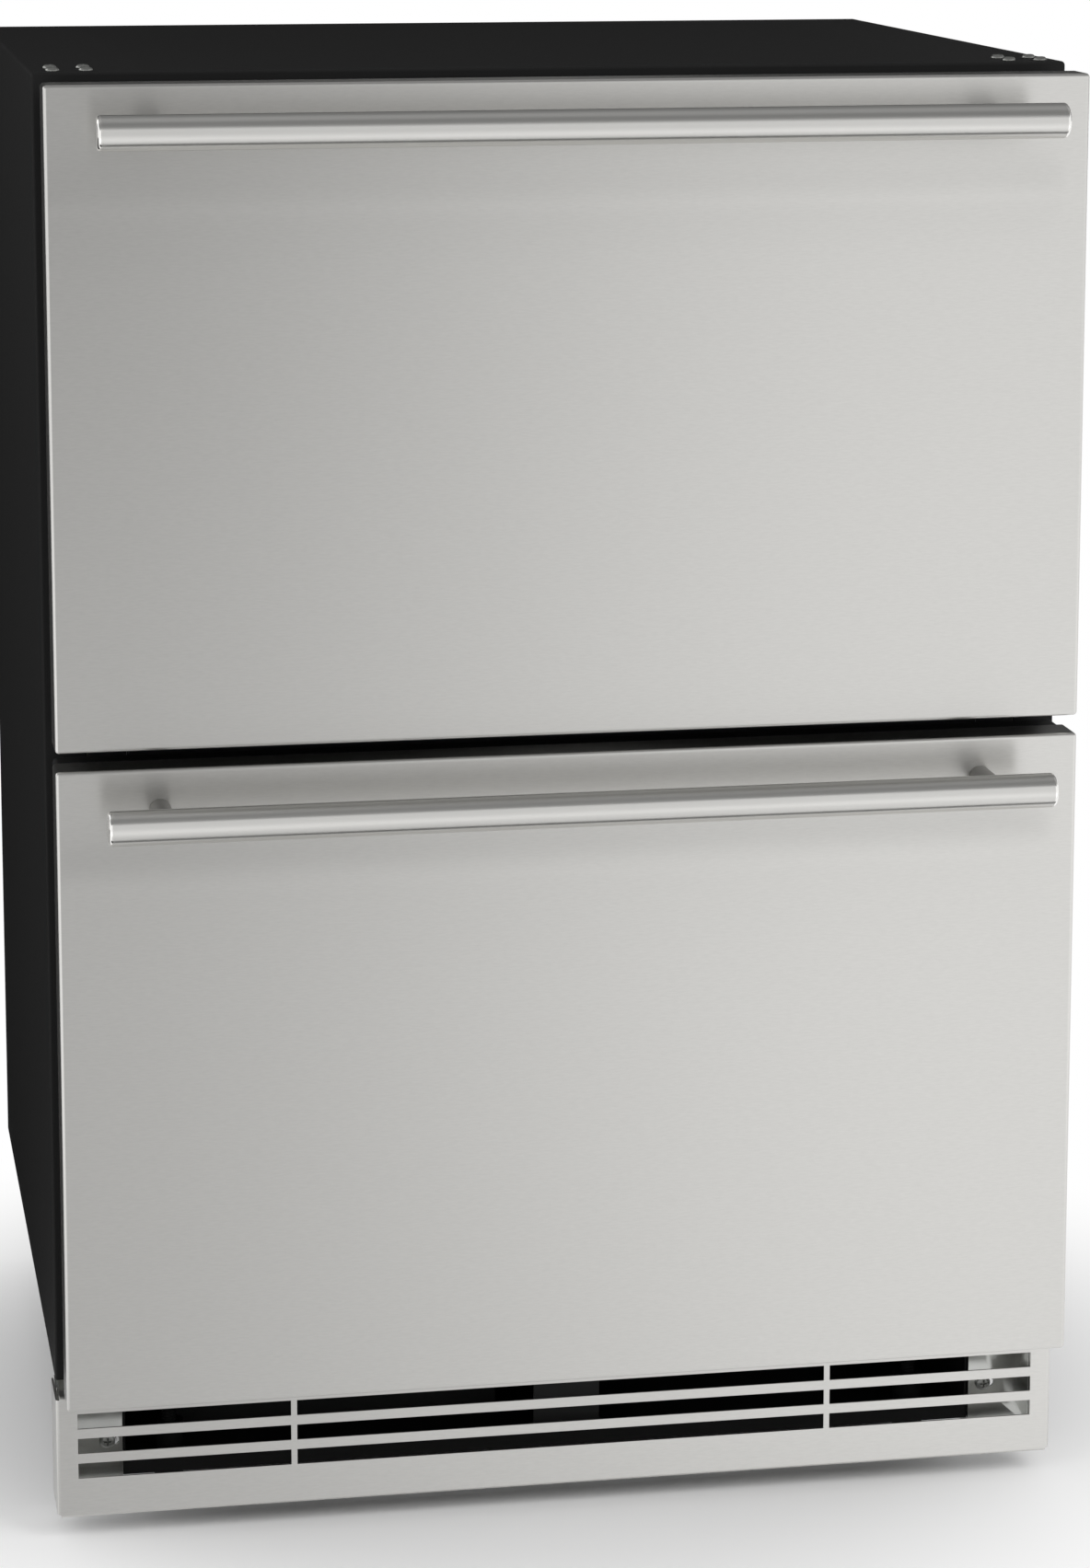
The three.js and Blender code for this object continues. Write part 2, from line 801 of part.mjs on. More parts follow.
// The mirror image across the middle plane, with the triangles turned to face out again.
function mirrorX(geometry) {
  const flipped = geometry.clone().scale(-1, 1, 1);
  const order = Array.from(flipped.index.array);
  for (let corner = 0; corner < order.length; corner += 3) {
    [order[corner], order[corner + 1]] = [order[corner + 1], order[corner]];
  }
  flipped.setIndex(order);
  flipped.computeVertexNormals();
  return flipped;
}

function bracketScrew(side) {
  const place = [side * bracketScrewX, bracketScrewZ];
  const seat = bracketFaceY - touchGap;
  const head = rod('y', [seat - bracketScrewHeadHeight, seat], place, bracketScrewHead, facets);
  const shankEnd = seat - bracketScrewHeadHeight / 2 + bracketScrewLength;
  const reach = [seat - bracketScrewHeadHeight / 2, shankEnd];
  const shank = rod('y', reach, place, bracketScrewShank, coarseFacets);
  return join(head, shank);
}

// ---------------------------------------------------------------- machine compartment

function compressor() {
  const floor = baseFloorZ + touchGap;
  const plateTop = floor + compressorFootHeight + compressorPlateSheet;
  const top = plateTop + compressorHeight;
  const dome = compressorRadius * compressorDomeShare;
  const profile = new THREE.Path();
  profile.moveTo(0, plateTop - compressorPlateSheet);
  profile.lineTo(compressorRadius * compressorFlatShare, plateTop - compressorPlateSheet);
  profile.quadraticCurveTo(compressorRadius, plateTop, compressorRadius, plateTop + dome);
  profile.lineTo(compressorRadius, top - dome);
  profile.quadraticCurveTo(compressorRadius, top, 0, top);
  const housing = new THREE.LatheGeometry(profile.getPoints(compressorDomeSteps), fineFacets);
  housing.rotateX(Math.PI / 2).translate(compressorX, fanAxisY, 0);
  const plateHalfX = compressorPlateLength / 2;
  const plateHalfY = compressorPlateWidth / 2;
  const plate = block(
    [compressorX - plateHalfX, compressorX + plateHalfX],
    [fanAxisY - plateHalfY, fanAxisY + plateHalfY],
    [plateTop - compressorPlateSheet, plateTop],
  );
  const feet = [];
  for (const sideX of [-1, 1]) {
    for (const sideY of [-1, 1]) {
      const place = [
        compressorX + sideX * (plateHalfX - compressorFootRadius),
        fanAxisY + sideY * (plateHalfY - compressorFootRadius),
      ];
      feet.push(rod('z', [floor, plateTop], place, 2 * compressorFootRadius, coarseFacets));
    }
  }
  return join(plate, ...feet, housing);
}

// Tubes that pass through a row of thin fins.
function finnedCoil(runX, runY, runZ, fins, rows, axis) {
  const along = axis === 'x' ? runX : runY;
  const pitch = (along[1] - along[0] - coilFinSheet) / (fins - 1);
  const plates = [];
  for (let fin = 0; fin < fins; fin += 1) {
    const start = along[0] + fin * pitch;
    const slice = [start, start + coilFinSheet];
    plates.push(axis === 'x' ? block(slice, runY, runZ) : block(runX, slice, runZ));
  }
  const rowPitch = (runZ[1] - runZ[0]) / rows;
  const tubes = [];
  for (let row = 0; row < rows; row += 1) {
    const z = runZ[0] + (row + 0.5) * rowPitch;
    const centre = axis === 'x' ? (runY[0] + runY[1]) / 2 : (runX[0] + runX[1]) / 2;
    const reach = [along[0] - coilTubeDiameter, along[1] + coilTubeDiameter];
    tubes.push(rod(axis, reach, [centre, z], coilTubeDiameter, hexagonSides));
  }
  return join(tubes[0], ...tubes.slice(1), ...plates);
}

function condenserCoil() {
  const floor = baseFloorZ + touchGap;
  return finnedCoil(
    [condenserX - condenserThickness / 2, condenserX + condenserThickness / 2],
    [fanAxisY - condenserLength / 2, fanAxisY + condenserLength / 2],
    [floor, floor + condenserHeight],
    condenserFins,
    condenserRows,
    'y',
  );
}

function fanShroud() {
  const reach = condenserFanDiameter / 2 + fanTipGap + shroudMargin;
  const plate = block(
    [shroudX, shroudX + shroudSheet],
    [fanAxisY - reach, fanAxisY + reach],
    [fanAxisZ - reach, fanAxisZ + reach],
  );
  const opening = rod(
    'x',
    [shroudX - shroudSheet, shroudX + 2 * shroudSheet],
    [fanAxisY, fanAxisZ],
    condenserFanDiameter + 2 * fanTipGap,
    wideFacets,
  );
  return cut(plate, opening);
}

// Pitched blades round a hub, drawn with the axis along Z through the origin.
function fanWheel(diameter, depth) {
  const hub = new THREE.CylinderGeometry(fanHubDiameter / 2, fanHubDiameter / 2, depth, fineFacets);
  hub.rotateX(Math.PI / 2);
  const pitch = THREE.MathUtils.degToRad(fanBladePitch);
  const chord = (depth * fanBladeReach - fanBladeSheet * Math.cos(pitch)) / Math.sin(pitch);
  const root = fanHubDiameter / 4;
  const length = diameter / 2 - root;
  const blades = [];
  for (let index = 0; index < fanBlades; index += 1) {
    const blade = new THREE.BoxGeometry(length, chord, fanBladeSheet);
    blade.translate(root + length / 2, 0, 0).rotateX(pitch);
    blades.push(blade.rotateZ((index * 2 * Math.PI) / fanBlades));
  }
  const tipTrim = new THREE.CylinderGeometry(diameter / 2, diameter / 2, 2 * depth, wideFacets);
  return common(join(hub, ...blades), tipTrim.rotateX(Math.PI / 2));
}

function condenserFan() {
  const wheel = fanWheel(condenserFanDiameter, condenserFanDepth);
  const middle = shroudX + shroudSheet / 2;
  return wheel.rotateY(Math.PI / 2).translate(middle, fanAxisY, fanAxisZ);
}

const condenserFanLowX = shroudX + shroudSheet / 2 - condenserFanDepth / 2;

function condenserFanMotor() {
  const front = condenserFanLowX - runningGap;
  const can = rod(
    'x',
    [front - condenserMotorLength, front],
    [fanAxisY, fanAxisZ],
    condenserMotorDiameter,
    fineFacets,
  );
  const reach = condenserFanDiameter / 2 + fanTipGap + shroudMargin;
  const footWidth = shroudMargin - touchGap;
  const arm = block(
    [front - motorArmSheet, front],
    [fanAxisY - reach, fanAxisY + reach],
    [fanAxisZ - motorArmWidth / 2, fanAxisZ + motorArmWidth / 2],
  );
  const feet = [-1, 1].map((side) => {
    const outer = fanAxisY + side * reach;
    const inner = outer - side * footWidth;
    return block(
      [front - motorArmSheet, shroudX - touchGap],
      [Math.min(outer, inner), Math.max(outer, inner)],
      [fanAxisZ - motorArmWidth / 2, fanAxisZ + motorArmWidth / 2],
    );
  });
  return join(can, arm, ...feet);
}

function airBaffle() {
  const front = baseFrontY + baseSheet + baffleFrontGap;
  const rear = compartmentFrontY - touchGap;
  const half = baffleSheet / 2;
  const profile = outline([
    [baffleX - baffleFaceWidth / 2, front],
    [baffleX + baffleFaceWidth / 2, front],
    [baffleX + baffleFaceWidth / 2, front + baffleSheet],
    [baffleX + half, front + baffleSheet],
    [baffleX + half, rear],
    [baffleX - half, rear],
    [baffleX - half, front + baffleSheet],
    [baffleX - baffleFaceWidth / 2, front + baffleSheet],
  ]);
  return carryZ(profile, [baseFloorZ + touchGap, baseTopZ]);
}

function drainPan() {
  const x = [drainPanX - drainPanWidth / 2, drainPanX + drainPanWidth / 2];
  const front = baseFrontY + drainPanSetback;
  const floor = baseFloorZ + touchGap;
  const body = block(x, [front, front + drainPanLength], [floor, floor + drainPanHeight]);
  const room = block(
    [x[0] + drainPanWall, x[1] - drainPanWall],
    [front + drainPanWall, front + drainPanLength - drainPanWall],
    [floor + drainPanWall, floor + drainPanHeight + drainPanWall],
  );
  return cut(body, room);
}

function controlBox() {
  const front = baseFrontY + controlBoxSetback;
  const floor = baseFloorZ + touchGap;
  return block(
    [controlBoxX - controlBoxWidth / 2, controlBoxX + controlBoxWidth / 2],
    [front, front + controlBoxLength],
    [floor, floor + controlBoxHeight],
  );
}

function powerInlet() {
  const half = inletWidth / 2;
  const bottom = baseFloorZ + inletRise;
  const inside = baseRearY - baseSheet - touchGap;
  const body = block(
    [inletX - half, inletX + half],
    [baseRearY - inletDepth, baseRearY],
    [bottom, bottom + inletHeight],
  );
  const flange = block(
    [inletX - half - inletFlange, inletX + half + inletFlange],
    [inside - baseSheet, inside],
    [bottom - inletFlange, bottom + inletHeight + inletFlange],
  );
  const recess = block(
    [inletX - half + inletRim, inletX + half - inletRim],
    [baseRearY - inletRecess, baseRearY + baseSheet],
    [bottom + inletRim, bottom + inletHeight - inletRim],
  );
  return cut(join(body, flange), recess);
}

// ---------------------------------------------------------------- cold side

function evaporatorCover() {
  const half = coverWidth / 2;
  const body = block([-half, half], [coverFrontY, coverRearY], [coverBottomZ, coverTopZ]);
  const room = block(
    [-half + coverSheet, half - coverSheet],
    [coverFrontY + coverSheet, coverRearY + coverSheet],
    [coverBottomZ + coverSheet, coverTopZ - coverSheet],
  );
  const cutDepth = [coverFrontY - coverSheet, coverFrontY + 2 * coverSheet];
  const opening = rod('y', cutDepth, [0, coverFanZ], coverFanDiameter + 2 * fanTipGap, wideFacets);
  const slots = [];
  for (let row = 0; row < coverSlots; row += 1) {
    const bottom = coverBottomZ + coverSlotRise + row * coverSlotPitch;
    slots.push(
      block([-coverSlotWidth / 2, coverSlotWidth / 2], cutDepth, [bottom, bottom + coverSlotHeight]),
    );
  }
  return cut(body, room, opening, ...slots);
}

function evaporatorCoil() {
  const half = evaporatorWidth / 2;
  const rear = linerBackFaceY - touchGap;
  const bottom = coverBottomZ + coverSheet + evaporatorRise;
  return finnedCoil(
    [-half, half],
    [rear - evaporatorThickness, rear],
    [bottom, bottom + evaporatorHeight],
    evaporatorFins,
    evaporatorRows,
    'x',
  );
}

const coverFanFrontY = coverFrontY + coverSheet / 2 - coverFanDepth / 2;

function evaporatorFan() {
  const wheel = fanWheel(coverFanDiameter, coverFanDepth);
  return wheel.rotateX(Math.PI / 2).translate(0, coverFanFrontY + coverFanDepth / 2, coverFanZ);
}

function evaporatorFanMotor() {
  const front = coverFanFrontY + coverFanDepth + runningGap;
  const can = rod('y', [front, front + coverMotorLength], [0, coverFanZ], coverMotorDiameter, fineFacets);
  const reach = coverFanDiameter / 2 + fanTipGap + shroudMargin;
  const z = [coverFanZ - motorArmWidth / 2, coverFanZ + motorArmWidth / 2];
  const arm = block([-reach, reach], [front, front + motorArmSheet], z);
  const footWidth = shroudMargin - touchGap;
  const seat = coverFrontY + coverSheet + touchGap;
  const left = block([-reach, -reach + footWidth], [seat, front + motorArmSheet], z);
  const right = block([reach - footWidth, reach], [seat, front + motorArmSheet], z);
  return join(can, arm, left, right);
}

function interiorLamp() {
  const front = cabinetFrontY + lampSetback;
  return block(
    [-lampWidth / 2, lampWidth / 2],
    [front, front + lampLength],
    [ceilingZ - touchGap - lampHeight, ceilingZ - touchGap],
  );
}

function touchPanel() {
  const front = cabinetFrontY + lampSetback;
  return block(
    [panelX - panelWidth / 2, panelX + panelWidth / 2],
    [front, front + panelLength],
    [ceilingZ - touchGap - panelHeight, ceilingZ - touchGap],
  );
}

// ---------------------------------------------------------------- drawers

function frontSkin(bottomZ, topZ) {
  const half = frontWidth / 2;
  const depth = [faceY, faceY + skinReturnDepth];
  const outside = foldedBlock([-half, half], depth, [bottomZ, topZ], skinEdgeRadius);
  const inside = foldedBlock(
    [-half + skinSheet, half - skinSheet],
    [faceY + skinSheet, faceY + skinReturnDepth + skinSheet],
    [bottomZ + skinSheet, topZ - skinSheet],
    Math.max(skinEdgeRadius - skinSheet, touchGap),
  );
  return cut(outside, inside);
}

const bodyInset = skinSheet + touchGap;

function frontBody(bottomZ, topZ) {
  const half = frontWidth / 2 - bodyInset;
  const radius = Math.max(skinEdgeRadius - skinSheet, touchGap);
  return foldedBlock(
    [-half, half],
    [faceY + bodyInset, frontRearY],
    [bottomZ + bodyInset, topZ - bodyInset],
    radius,
  );
}

function frontGasket(bottomZ, topZ) {
  const edge = bodyInset + gasketInset;
  const half = frontWidth / 2 - edge;
  const y = [frontRearY + touchGap, frontRearY + touchGap + gasketThickness];
  const ring = block([-half, half], y, [bottomZ + edge, topZ - edge]);
  const middle = block(
    [-half + gasketWidth, half - gasketWidth],
    [y[0] - gasketWidth, y[1] + gasketWidth],
    [bottomZ + edge + gasketWidth, topZ - edge - gasketWidth],
  );
  return cut(ring, middle);
}

function handleBar(topZ) {
  const half = barLength / 2;
  const points = [
    [0, -half],
    [barRadius - barChamfer, -half],
    [barRadius, -half + barChamfer],
    [barRadius, half - barChamfer],
    [barRadius - barChamfer, half],
    [0, half],
  ].map(([radius, along]) => new THREE.Vector2(radius, along));
  const bar = new THREE.LatheGeometry(points, wideFacets);
  return bar.rotateZ(Math.PI / 2).translate(0, faceY - barStandoff, topZ - barDrop);
}

function handlePost(side, topZ) {
  const place = [(side * postSpacing) / 2, topZ - barDrop];
  const post = rod('y', [faceY - barStandoff, faceY - touchGap], place, postDiameter, fineFacets);
  const seat = rod(
    'x',
    [place[0] - postDiameter, place[0] + postDiameter],
    [faceY - barStandoff, topZ - barDrop],
    barDiameter + 2 * touchGap,
    wideFacets,
  );
  return cut(post, seat);
}

function upperBin() {
  const z = [upperBinBottomZ, upperBinTopZ];
  const outside = block([-binHalf, binHalf], [binFrontY, binRearY], z);
  const inside = block(
    [-binHalf + binWall, binHalf - binWall],
    [binFrontY + binWall, binRearY - binWall],
    [z[0] + binWall, z[1] + binWall],
  );
  return cut(outside, inside);
}

// The lower bin is shallow over the machine compartment and deep in front of it.
function lowerBin() {
  const stepY = stepFrontY - linerSheet - lowerBinStepGap;
  const shelfZ = stepTopZ + linerSheet + lowerBinStepGap;
  const outside = cut(
    block([-binHalf, binHalf], [binFrontY, binRearY], [lowerBinBottomZ, lowerBinTopZ]),
    block([-cabinetHalf, cabinetHalf], [stepY, cabinetRearY], [0, shelfZ]),
  );
  const inside = cut(
    block(
      [-binHalf + binWall, binHalf - binWall],
      [binFrontY + binWall, binRearY - binWall],
      [lowerBinBottomZ + binWall, lowerBinTopZ + binWall],
    ),
    block([-cabinetHalf, cabinetHalf], [stepY - binWall, cabinetRearY], [0, shelfZ + binWall]),
  );
  return cut(outside, inside);
}

// A channel lying on its back: its web is at web, and its lips reach along X to tip.
function slideChannel(web, tip, height, z) {
  const turn = Math.sign(tip - web);
  const inner = web + turn * slideSheet;
  const top = z + height / 2;
  const bottom = z - height / 2;
  const points = [
    [web, bottom],
    [tip, bottom],
    [tip, bottom + slideSheet],
    [inner, bottom + slideSheet],
    [inner, top - slideSheet],
    [tip, top - slideSheet],
    [tip, top],
    [web, top],
  ];
  return carryY(outline(points), [slideFrontY, slideRearY]);
}

// The three nested channels of one telescopic slide, from the liner's wall inwards.
function slideChannels(side, z) {
  const wall = linerInnerHalf - touchGap;
  const layer = slideSheet + slideLayerGap;
  const race = 2 * (slideSheet + slideRaceGap);
  const middleWeb = wall - layer;
  const innerWeb = wall - slideDepth;
  const nestGap = slideSheet + slideLayerGap;
  return {
    outer: slideChannel(side * wall, side * (wall - slideLipReach), slideHeight, z),
    middle: slideChannel(side * middleWeb, side * (middleWeb - slideLipReach), slideHeight - race, z),
    inner: slideChannel(side * innerWeb, side * (middleWeb - nestGap), slideHeight - 2 * race, z),
  };
}

// ---------------------------------------------------------------- assembly

const cabinet = addBody();
const topSides = [
  ['left', -1],
  ['right', 1],
];
const allTopScrews = topSides.flatMap(([, side]) => topScrewPlaces(side));

addPiece('outer_shell', outerShell(allTopScrews), 'blackPaint', cabinet);
addPiece('back_panel', backPanel(), 'galvanised', cabinet);
addPiece('cabinet_bottom', cabinetBottom(), 'galvanised', cabinet);
addPiece('compartment_wall', compartmentWall(), 'galvanised', cabinet);
addPiece('inner_liner', innerLiner(), 'whitePlastic', cabinet);
const platePockets = topSides.map(([, side]) => topPlate(side, touchGap));
addPiece('foam_insulation', foamInsulation(platePockets), 'foam', cabinet);
addPiece('mullion_rail', mullionRail(), 'blackPlastic', cabinet);
addPiece('base_pan', basePan(), 'blackPaint', cabinet);
addPiece('toe_kick_grille', toeKickGrille(), 'stainless', cabinet);
for (const [name, side] of topSides) {
  addPiece(`top_screws_${name}`, topScrews(side), 'zinc', cabinet);
  addPiece(`grille_bracket_${name}`, grilleBracket(side), 'zinc', cabinet);
  addPiece(`bracket_screw_${name}`, bracketScrew(side), 'zinc', cabinet);
}

addPiece('compressor', compressor(), 'blackPaint', cabinet);
addPiece('condenser_coil', condenserCoil(), 'aluminium', cabinet);
addPiece('fan_shroud', fanShroud(), 'blackPlastic', cabinet);
addPiece('condenser_fan_motor', condenserFanMotor(), 'galvanised', cabinet);
addPiece('air_baffle', airBaffle(), 'blackPlastic', cabinet);
addPiece('drain_pan', drainPan(), 'blackPlastic', cabinet);
addPiece('control_box', controlBox(), 'greyPlastic', cabinet);
addPiece('power_inlet', powerInlet(), 'blackPlastic', cabinet);
addPiece('evaporator_cover', evaporatorCover(), 'whitePlastic', cabinet);
addPiece('evaporator_coil', evaporatorCoil(), 'aluminium', cabinet);
addPiece('evaporator_fan_motor', evaporatorFanMotor(), 'blackPlastic', cabinet);
addPiece('interior_lamp', interiorLamp(), 'lens', cabinet);
addPiece('touch_panel', touchPanel(), 'blackPlastic', cabinet);

addPiece('condenser_fan_wheel', condenserFan(), 'blackPlastic', addBody());
addPiece('evaporator_fan_wheel', evaporatorFan(), 'whitePlastic', addBody());

for (const [name, x, y] of legPlaces()) {
  addPiece(`leg_${name}`, levellingLeg(x, y), 'blackPaint', addBody());
}

const drawers = [
  {
    name: 'upper',
    bottomZ: upperFrontBottomZ,
    topZ: upperFrontTopZ,
    bin: upperBin,
    rimZ: upperBinTopZ,
  },
  { name: 'lower', bottomZ: lowerFrontBottomZ, topZ: lowerFrontTopZ, bin: lowerBin, rimZ: lowerBinTopZ },
];

for (const { name, bottomZ, topZ, bin, rimZ } of drawers) {
  const drawer = addBody();
  const middles = addBody();
  addPiece(`${name}_front_skin`, frontSkin(bottomZ, topZ), 'stainless', drawer);
  addPiece(`${name}_front_body`, frontBody(bottomZ, topZ), 'blackPlastic', drawer);
  addPiece(`${name}_gasket`, frontGasket(bottomZ, topZ), 'rubber', drawer);
  addPiece(`${name}_handle_bar`, handleBar(topZ), 'polishedStainless', drawer);
  addPiece(`${name}_bin`, bin(), 'greyPlastic', drawer);
  for (const [sideName, side] of topSides) {
    const channels = slideChannels(side, rimZ - slideBelowBinRim);
    addPiece(`${name}_handle_post_${sideName}`, handlePost(side, topZ), 'polishedStainless', drawer);
    addPiece(`${name}_slide_outer_${sideName}`, channels.outer, 'zinc', cabinet);
    addPiece(`${name}_slide_middle_${sideName}`, channels.middle, 'zinc', middles);
    addPiece(`${name}_slide_inner_${sideName}`, channels.inner, 'zinc', drawer);
  }
}

export default refrigerator;
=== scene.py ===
# %% [markdown]
# # An undercounter drawer refrigerator, dressed in Blender
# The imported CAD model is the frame: it says where every part is and what moves with what.
# This script gives each part its looks, in steps: the frame and the camera, helpers that turn
# arrays into objects, the light, the finishes, and then the pieces from the outside in.
#
# Shapes are worked out in millimetres with numpy and put into a mesh in metres.

# %% Load the frame
import math
import bmesh
import bpy
import numpy as np
from mathutils import Euler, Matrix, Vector


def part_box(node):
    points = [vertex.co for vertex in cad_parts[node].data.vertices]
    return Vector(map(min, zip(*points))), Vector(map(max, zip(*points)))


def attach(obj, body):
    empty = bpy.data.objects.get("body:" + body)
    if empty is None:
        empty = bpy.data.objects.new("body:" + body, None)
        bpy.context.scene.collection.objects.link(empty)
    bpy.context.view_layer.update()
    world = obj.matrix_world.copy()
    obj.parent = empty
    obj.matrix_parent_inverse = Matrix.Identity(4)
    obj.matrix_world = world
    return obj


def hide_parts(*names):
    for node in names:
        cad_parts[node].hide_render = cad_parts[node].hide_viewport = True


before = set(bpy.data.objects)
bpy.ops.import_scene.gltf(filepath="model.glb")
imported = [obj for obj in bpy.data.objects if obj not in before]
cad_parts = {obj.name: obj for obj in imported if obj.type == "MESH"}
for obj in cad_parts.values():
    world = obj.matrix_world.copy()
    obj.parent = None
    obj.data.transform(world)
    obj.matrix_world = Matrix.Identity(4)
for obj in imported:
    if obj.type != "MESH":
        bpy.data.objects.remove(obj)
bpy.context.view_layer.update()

# %% [markdown]
# ## Measures from the frame
# Every piece takes its place from a CAD node's box, so that it can never drift from the part
# that it dresses. Millimetres are easier to think in than metres.

# %% Boxes in millimetres
METRE = 1000.0
DRAWERS = ("upper", "lower")
SIDES = {"left": -1, "right": 1}
X, Y, Z = 0, 1, 2


def box(node):
    """The lowest and the highest corner of a CAD node: the frame's metres times a thousand."""
    low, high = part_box(node)
    return np.array(low) * METRE, np.array(high) * METRE


for drawer in DRAWERS:
    print(drawer, "front", [corner.round(1).tolist() for corner in box(f"{drawer}_front_skin")])

# %% [markdown]
# ## Camera
# The photograph was taken from left of the middle and from a little above the top, with a long
# lens held level. A level camera here would need a large lens shift, and every other view keeps
# the shift. So this camera looks down a little and has a small shift.

# %% Camera
CAMERA_PLACE = (-0.450, -2.650, 1.020)
CAMERA_TURN = 10.2
CAMERA_TILT = 9.26
LENS = 99.16
SHIFT = -0.18

camera_data = bpy.data.cameras.new("camera")
camera_data.lens = LENS
camera_data.shift_y = SHIFT
camera = bpy.data.objects.new("camera", camera_data)
camera.location = CAMERA_PLACE
camera.rotation_euler = Euler((math.radians(90 - CAMERA_TILT), 0, math.radians(-CAMERA_TURN)))
bpy.context.scene.collection.objects.link(camera)
bpy.context.scene.camera = camera
bpy.context.scene.view_settings.view_transform = "Standard"
print("lens", LENS, "shift", SHIFT)

# %% [markdown]
# ## Surfaces from arrays
# Nearly every part of this machine is folded from sheet or turned from bar. A folded pan is one
# outline that shrinks, grows and moves as it follows a profile, and a turned part is a circle
# that does the same. So the first helpers draw flat outlines and lay them in space.

# %% Outlines
ARC_STEPS = 5
LEAST_RADIUS = 0.15


def round_rectangle(low, high, radius):
    """Points round a rectangle: each corner's centre plus the radius times cosine and sine."""
    radius = max(radius, LEAST_RADIUS)
    low = np.array(low, float) + radius
    high = np.array(high, float) - radius
    quarter = np.linspace(0, np.pi / 2, ARC_STEPS + 1)
    angle = (quarter[None, :] + np.arange(4)[:, None] * np.pi / 2).ravel()
    right = np.repeat([1, 0, 0, 1], ARC_STEPS + 1)
    up = np.repeat([1, 1, 0, 0], ARC_STEPS + 1)
    across = low[0] + (high[0] - low[0]) * right + radius * np.cos(angle)
    along = low[1] + (high[1] - low[1]) * up + radius * np.sin(angle)
    return np.stack([across, along], -1)


def full_turn(sides):
    """Angles at equal steps round a circle."""
    return np.linspace(0, 2 * np.pi, sides, endpoint=False)


def circle(centre, radius, sides):
    """Points round a circle: the centre plus the radius times cosine and sine."""
    angle = full_turn(sides)
    return np.array(centre) + radius * np.stack([np.cos(angle), np.sin(angle)], -1)


def lay(flat, axis, level):
    """Sets a flat outline across an axis, at a level along it."""
    return np.insert(flat, axis, level, axis=1)


print("a corner has", ARC_STEPS + 1, "points")

# %% [markdown]
# ### Lofts
# The next helper joins outlines into a shell. Its faces are the cells of a grid, with a row for
# each outline and a column for each point. A shell that is inside out encloses a negative
# volume, so its faces are turned round.

# %% Lofts
def enclosed(points, quads):
    """Adds up corner . (edge x edge) over both triangles of each face: six times the volume."""
    total = 0.0
    middle = points.mean(0)
    for second, third in ((1, 2), (2, 3)):
        a, b, c = (points[quads[:, k]] - middle for k in (0, second, third))
        total += np.einsum("ij,ij->i", a, np.cross(b, c)).sum()
    return total


def grid_faces(rows, columns, wrap_rows=False, wrap_columns=True):
    """Faces between neighbours of a grid whose points are numbered row by row."""
    row = np.arange(rows if wrap_rows else rows - 1)[:, None]
    column = np.arange(columns if wrap_columns else columns - 1)[None, :]
    next_row = (row + 1) % rows
    next_column = (column + 1) % columns
    corners = [
        row * columns + column,
        row * columns + next_column,
        next_row * columns + next_column,
        next_row * columns + column,
    ]
    return np.stack(corners, -1).reshape(-1, 4)


def loft(rings, closed=False):
    """Joins each outline to the next. The ends get a flat lid, or meet when the loft is closed."""
    rings = np.array(rings, float)
    rows, columns = rings.shape[:2]
    points = rings.reshape(-1, 3)
    quads = grid_faces(rows, columns, wrap_rows=closed)
    lids = []
    if not closed:
        first = np.arange(columns)
        lids = [first[::-1], first + (rows - 1) * columns]
    if enclosed(points, quads) < 0:
        quads = quads[:, ::-1]
        lids = [lid[::-1] for lid in lids]
    return points, quads, lids


print("a tube of 3 rings of 4 points has", len(grid_faces(3, 4)), "faces")

# %% [markdown]
# ### From arrays to objects
# The arrays go into a mesh all at once. The object stays at the origin, because the pieces carry
# their places in their points, as the CAD nodes do. Shading is smooth, except over a real edge.

# %% Objects
SHARP_ANGLE = math.radians(32)


def new_object(name, points, faces):
    """Makes an object at the origin from points in millimetres."""
    mesh = bpy.data.meshes.new(name)
    mesh.from_pydata((points / METRE).tolist(), [], faces)
    mesh.update()
    made = bpy.data.objects.new(name, mesh)
    bpy.context.scene.collection.objects.link(made)
    return made


def shade(made):
    """Smooth shading, with an edge kept sharp where its faces meet at a large angle."""
    made.data.shade_smooth()
    made.data.set_sharp_from_angle(angle=SHARP_ANGLE)


def build(name, *shells):
    """Puts one or more closed shells into one object."""
    points = np.concatenate([shell[0] for shell in shells])
    faces = []
    start = 0
    for shell_points, quads, lids in shells:
        faces += (quads + start).tolist()
        faces += [(lid + start).tolist() for lid in lids]
        start += len(shell_points)
    made = new_object(name, points, faces)
    shade(made)
    return made


print(f"edges over {math.degrees(SHARP_ANGLE):.0f} degrees stay sharp")

# %% [markdown]
# ### Edges and walls
# No real edge is quite sharp, and the line of light along it makes a part look solid, so a Bevel
# rounds the edges. A part of one thickness is drawn as its bare outside, and Solidify gives it a
# wall. A CAD node whose shape is right is copied, and its loose triangles are first merged into
# whole faces.

# %% Edges and walls
MERGE_DISTANCE = 1e-6
FLAT_ANGLE = math.radians(0.5)


def bevel(made, width, segments=2):
    """Rounds the edges of a piece. The flat faces keep straight normals."""
    rounding = made.modifiers.new("edges", "BEVEL")
    rounding.width = width / METRE
    rounding.segments = segments
    rounding.limit_method = "ANGLE"
    rounding.angle_limit = SHARP_ANGLE
    rounding.harden_normals = True
    return rounding


def add_wall(made, thickness):
    """Gives a bare outside its thickness, which grows inwards."""
    wall = made.modifiers.new("wall", "SOLIDIFY")
    wall.thickness = thickness / METRE
    wall.offset = -1
    wall.use_even_offset = True


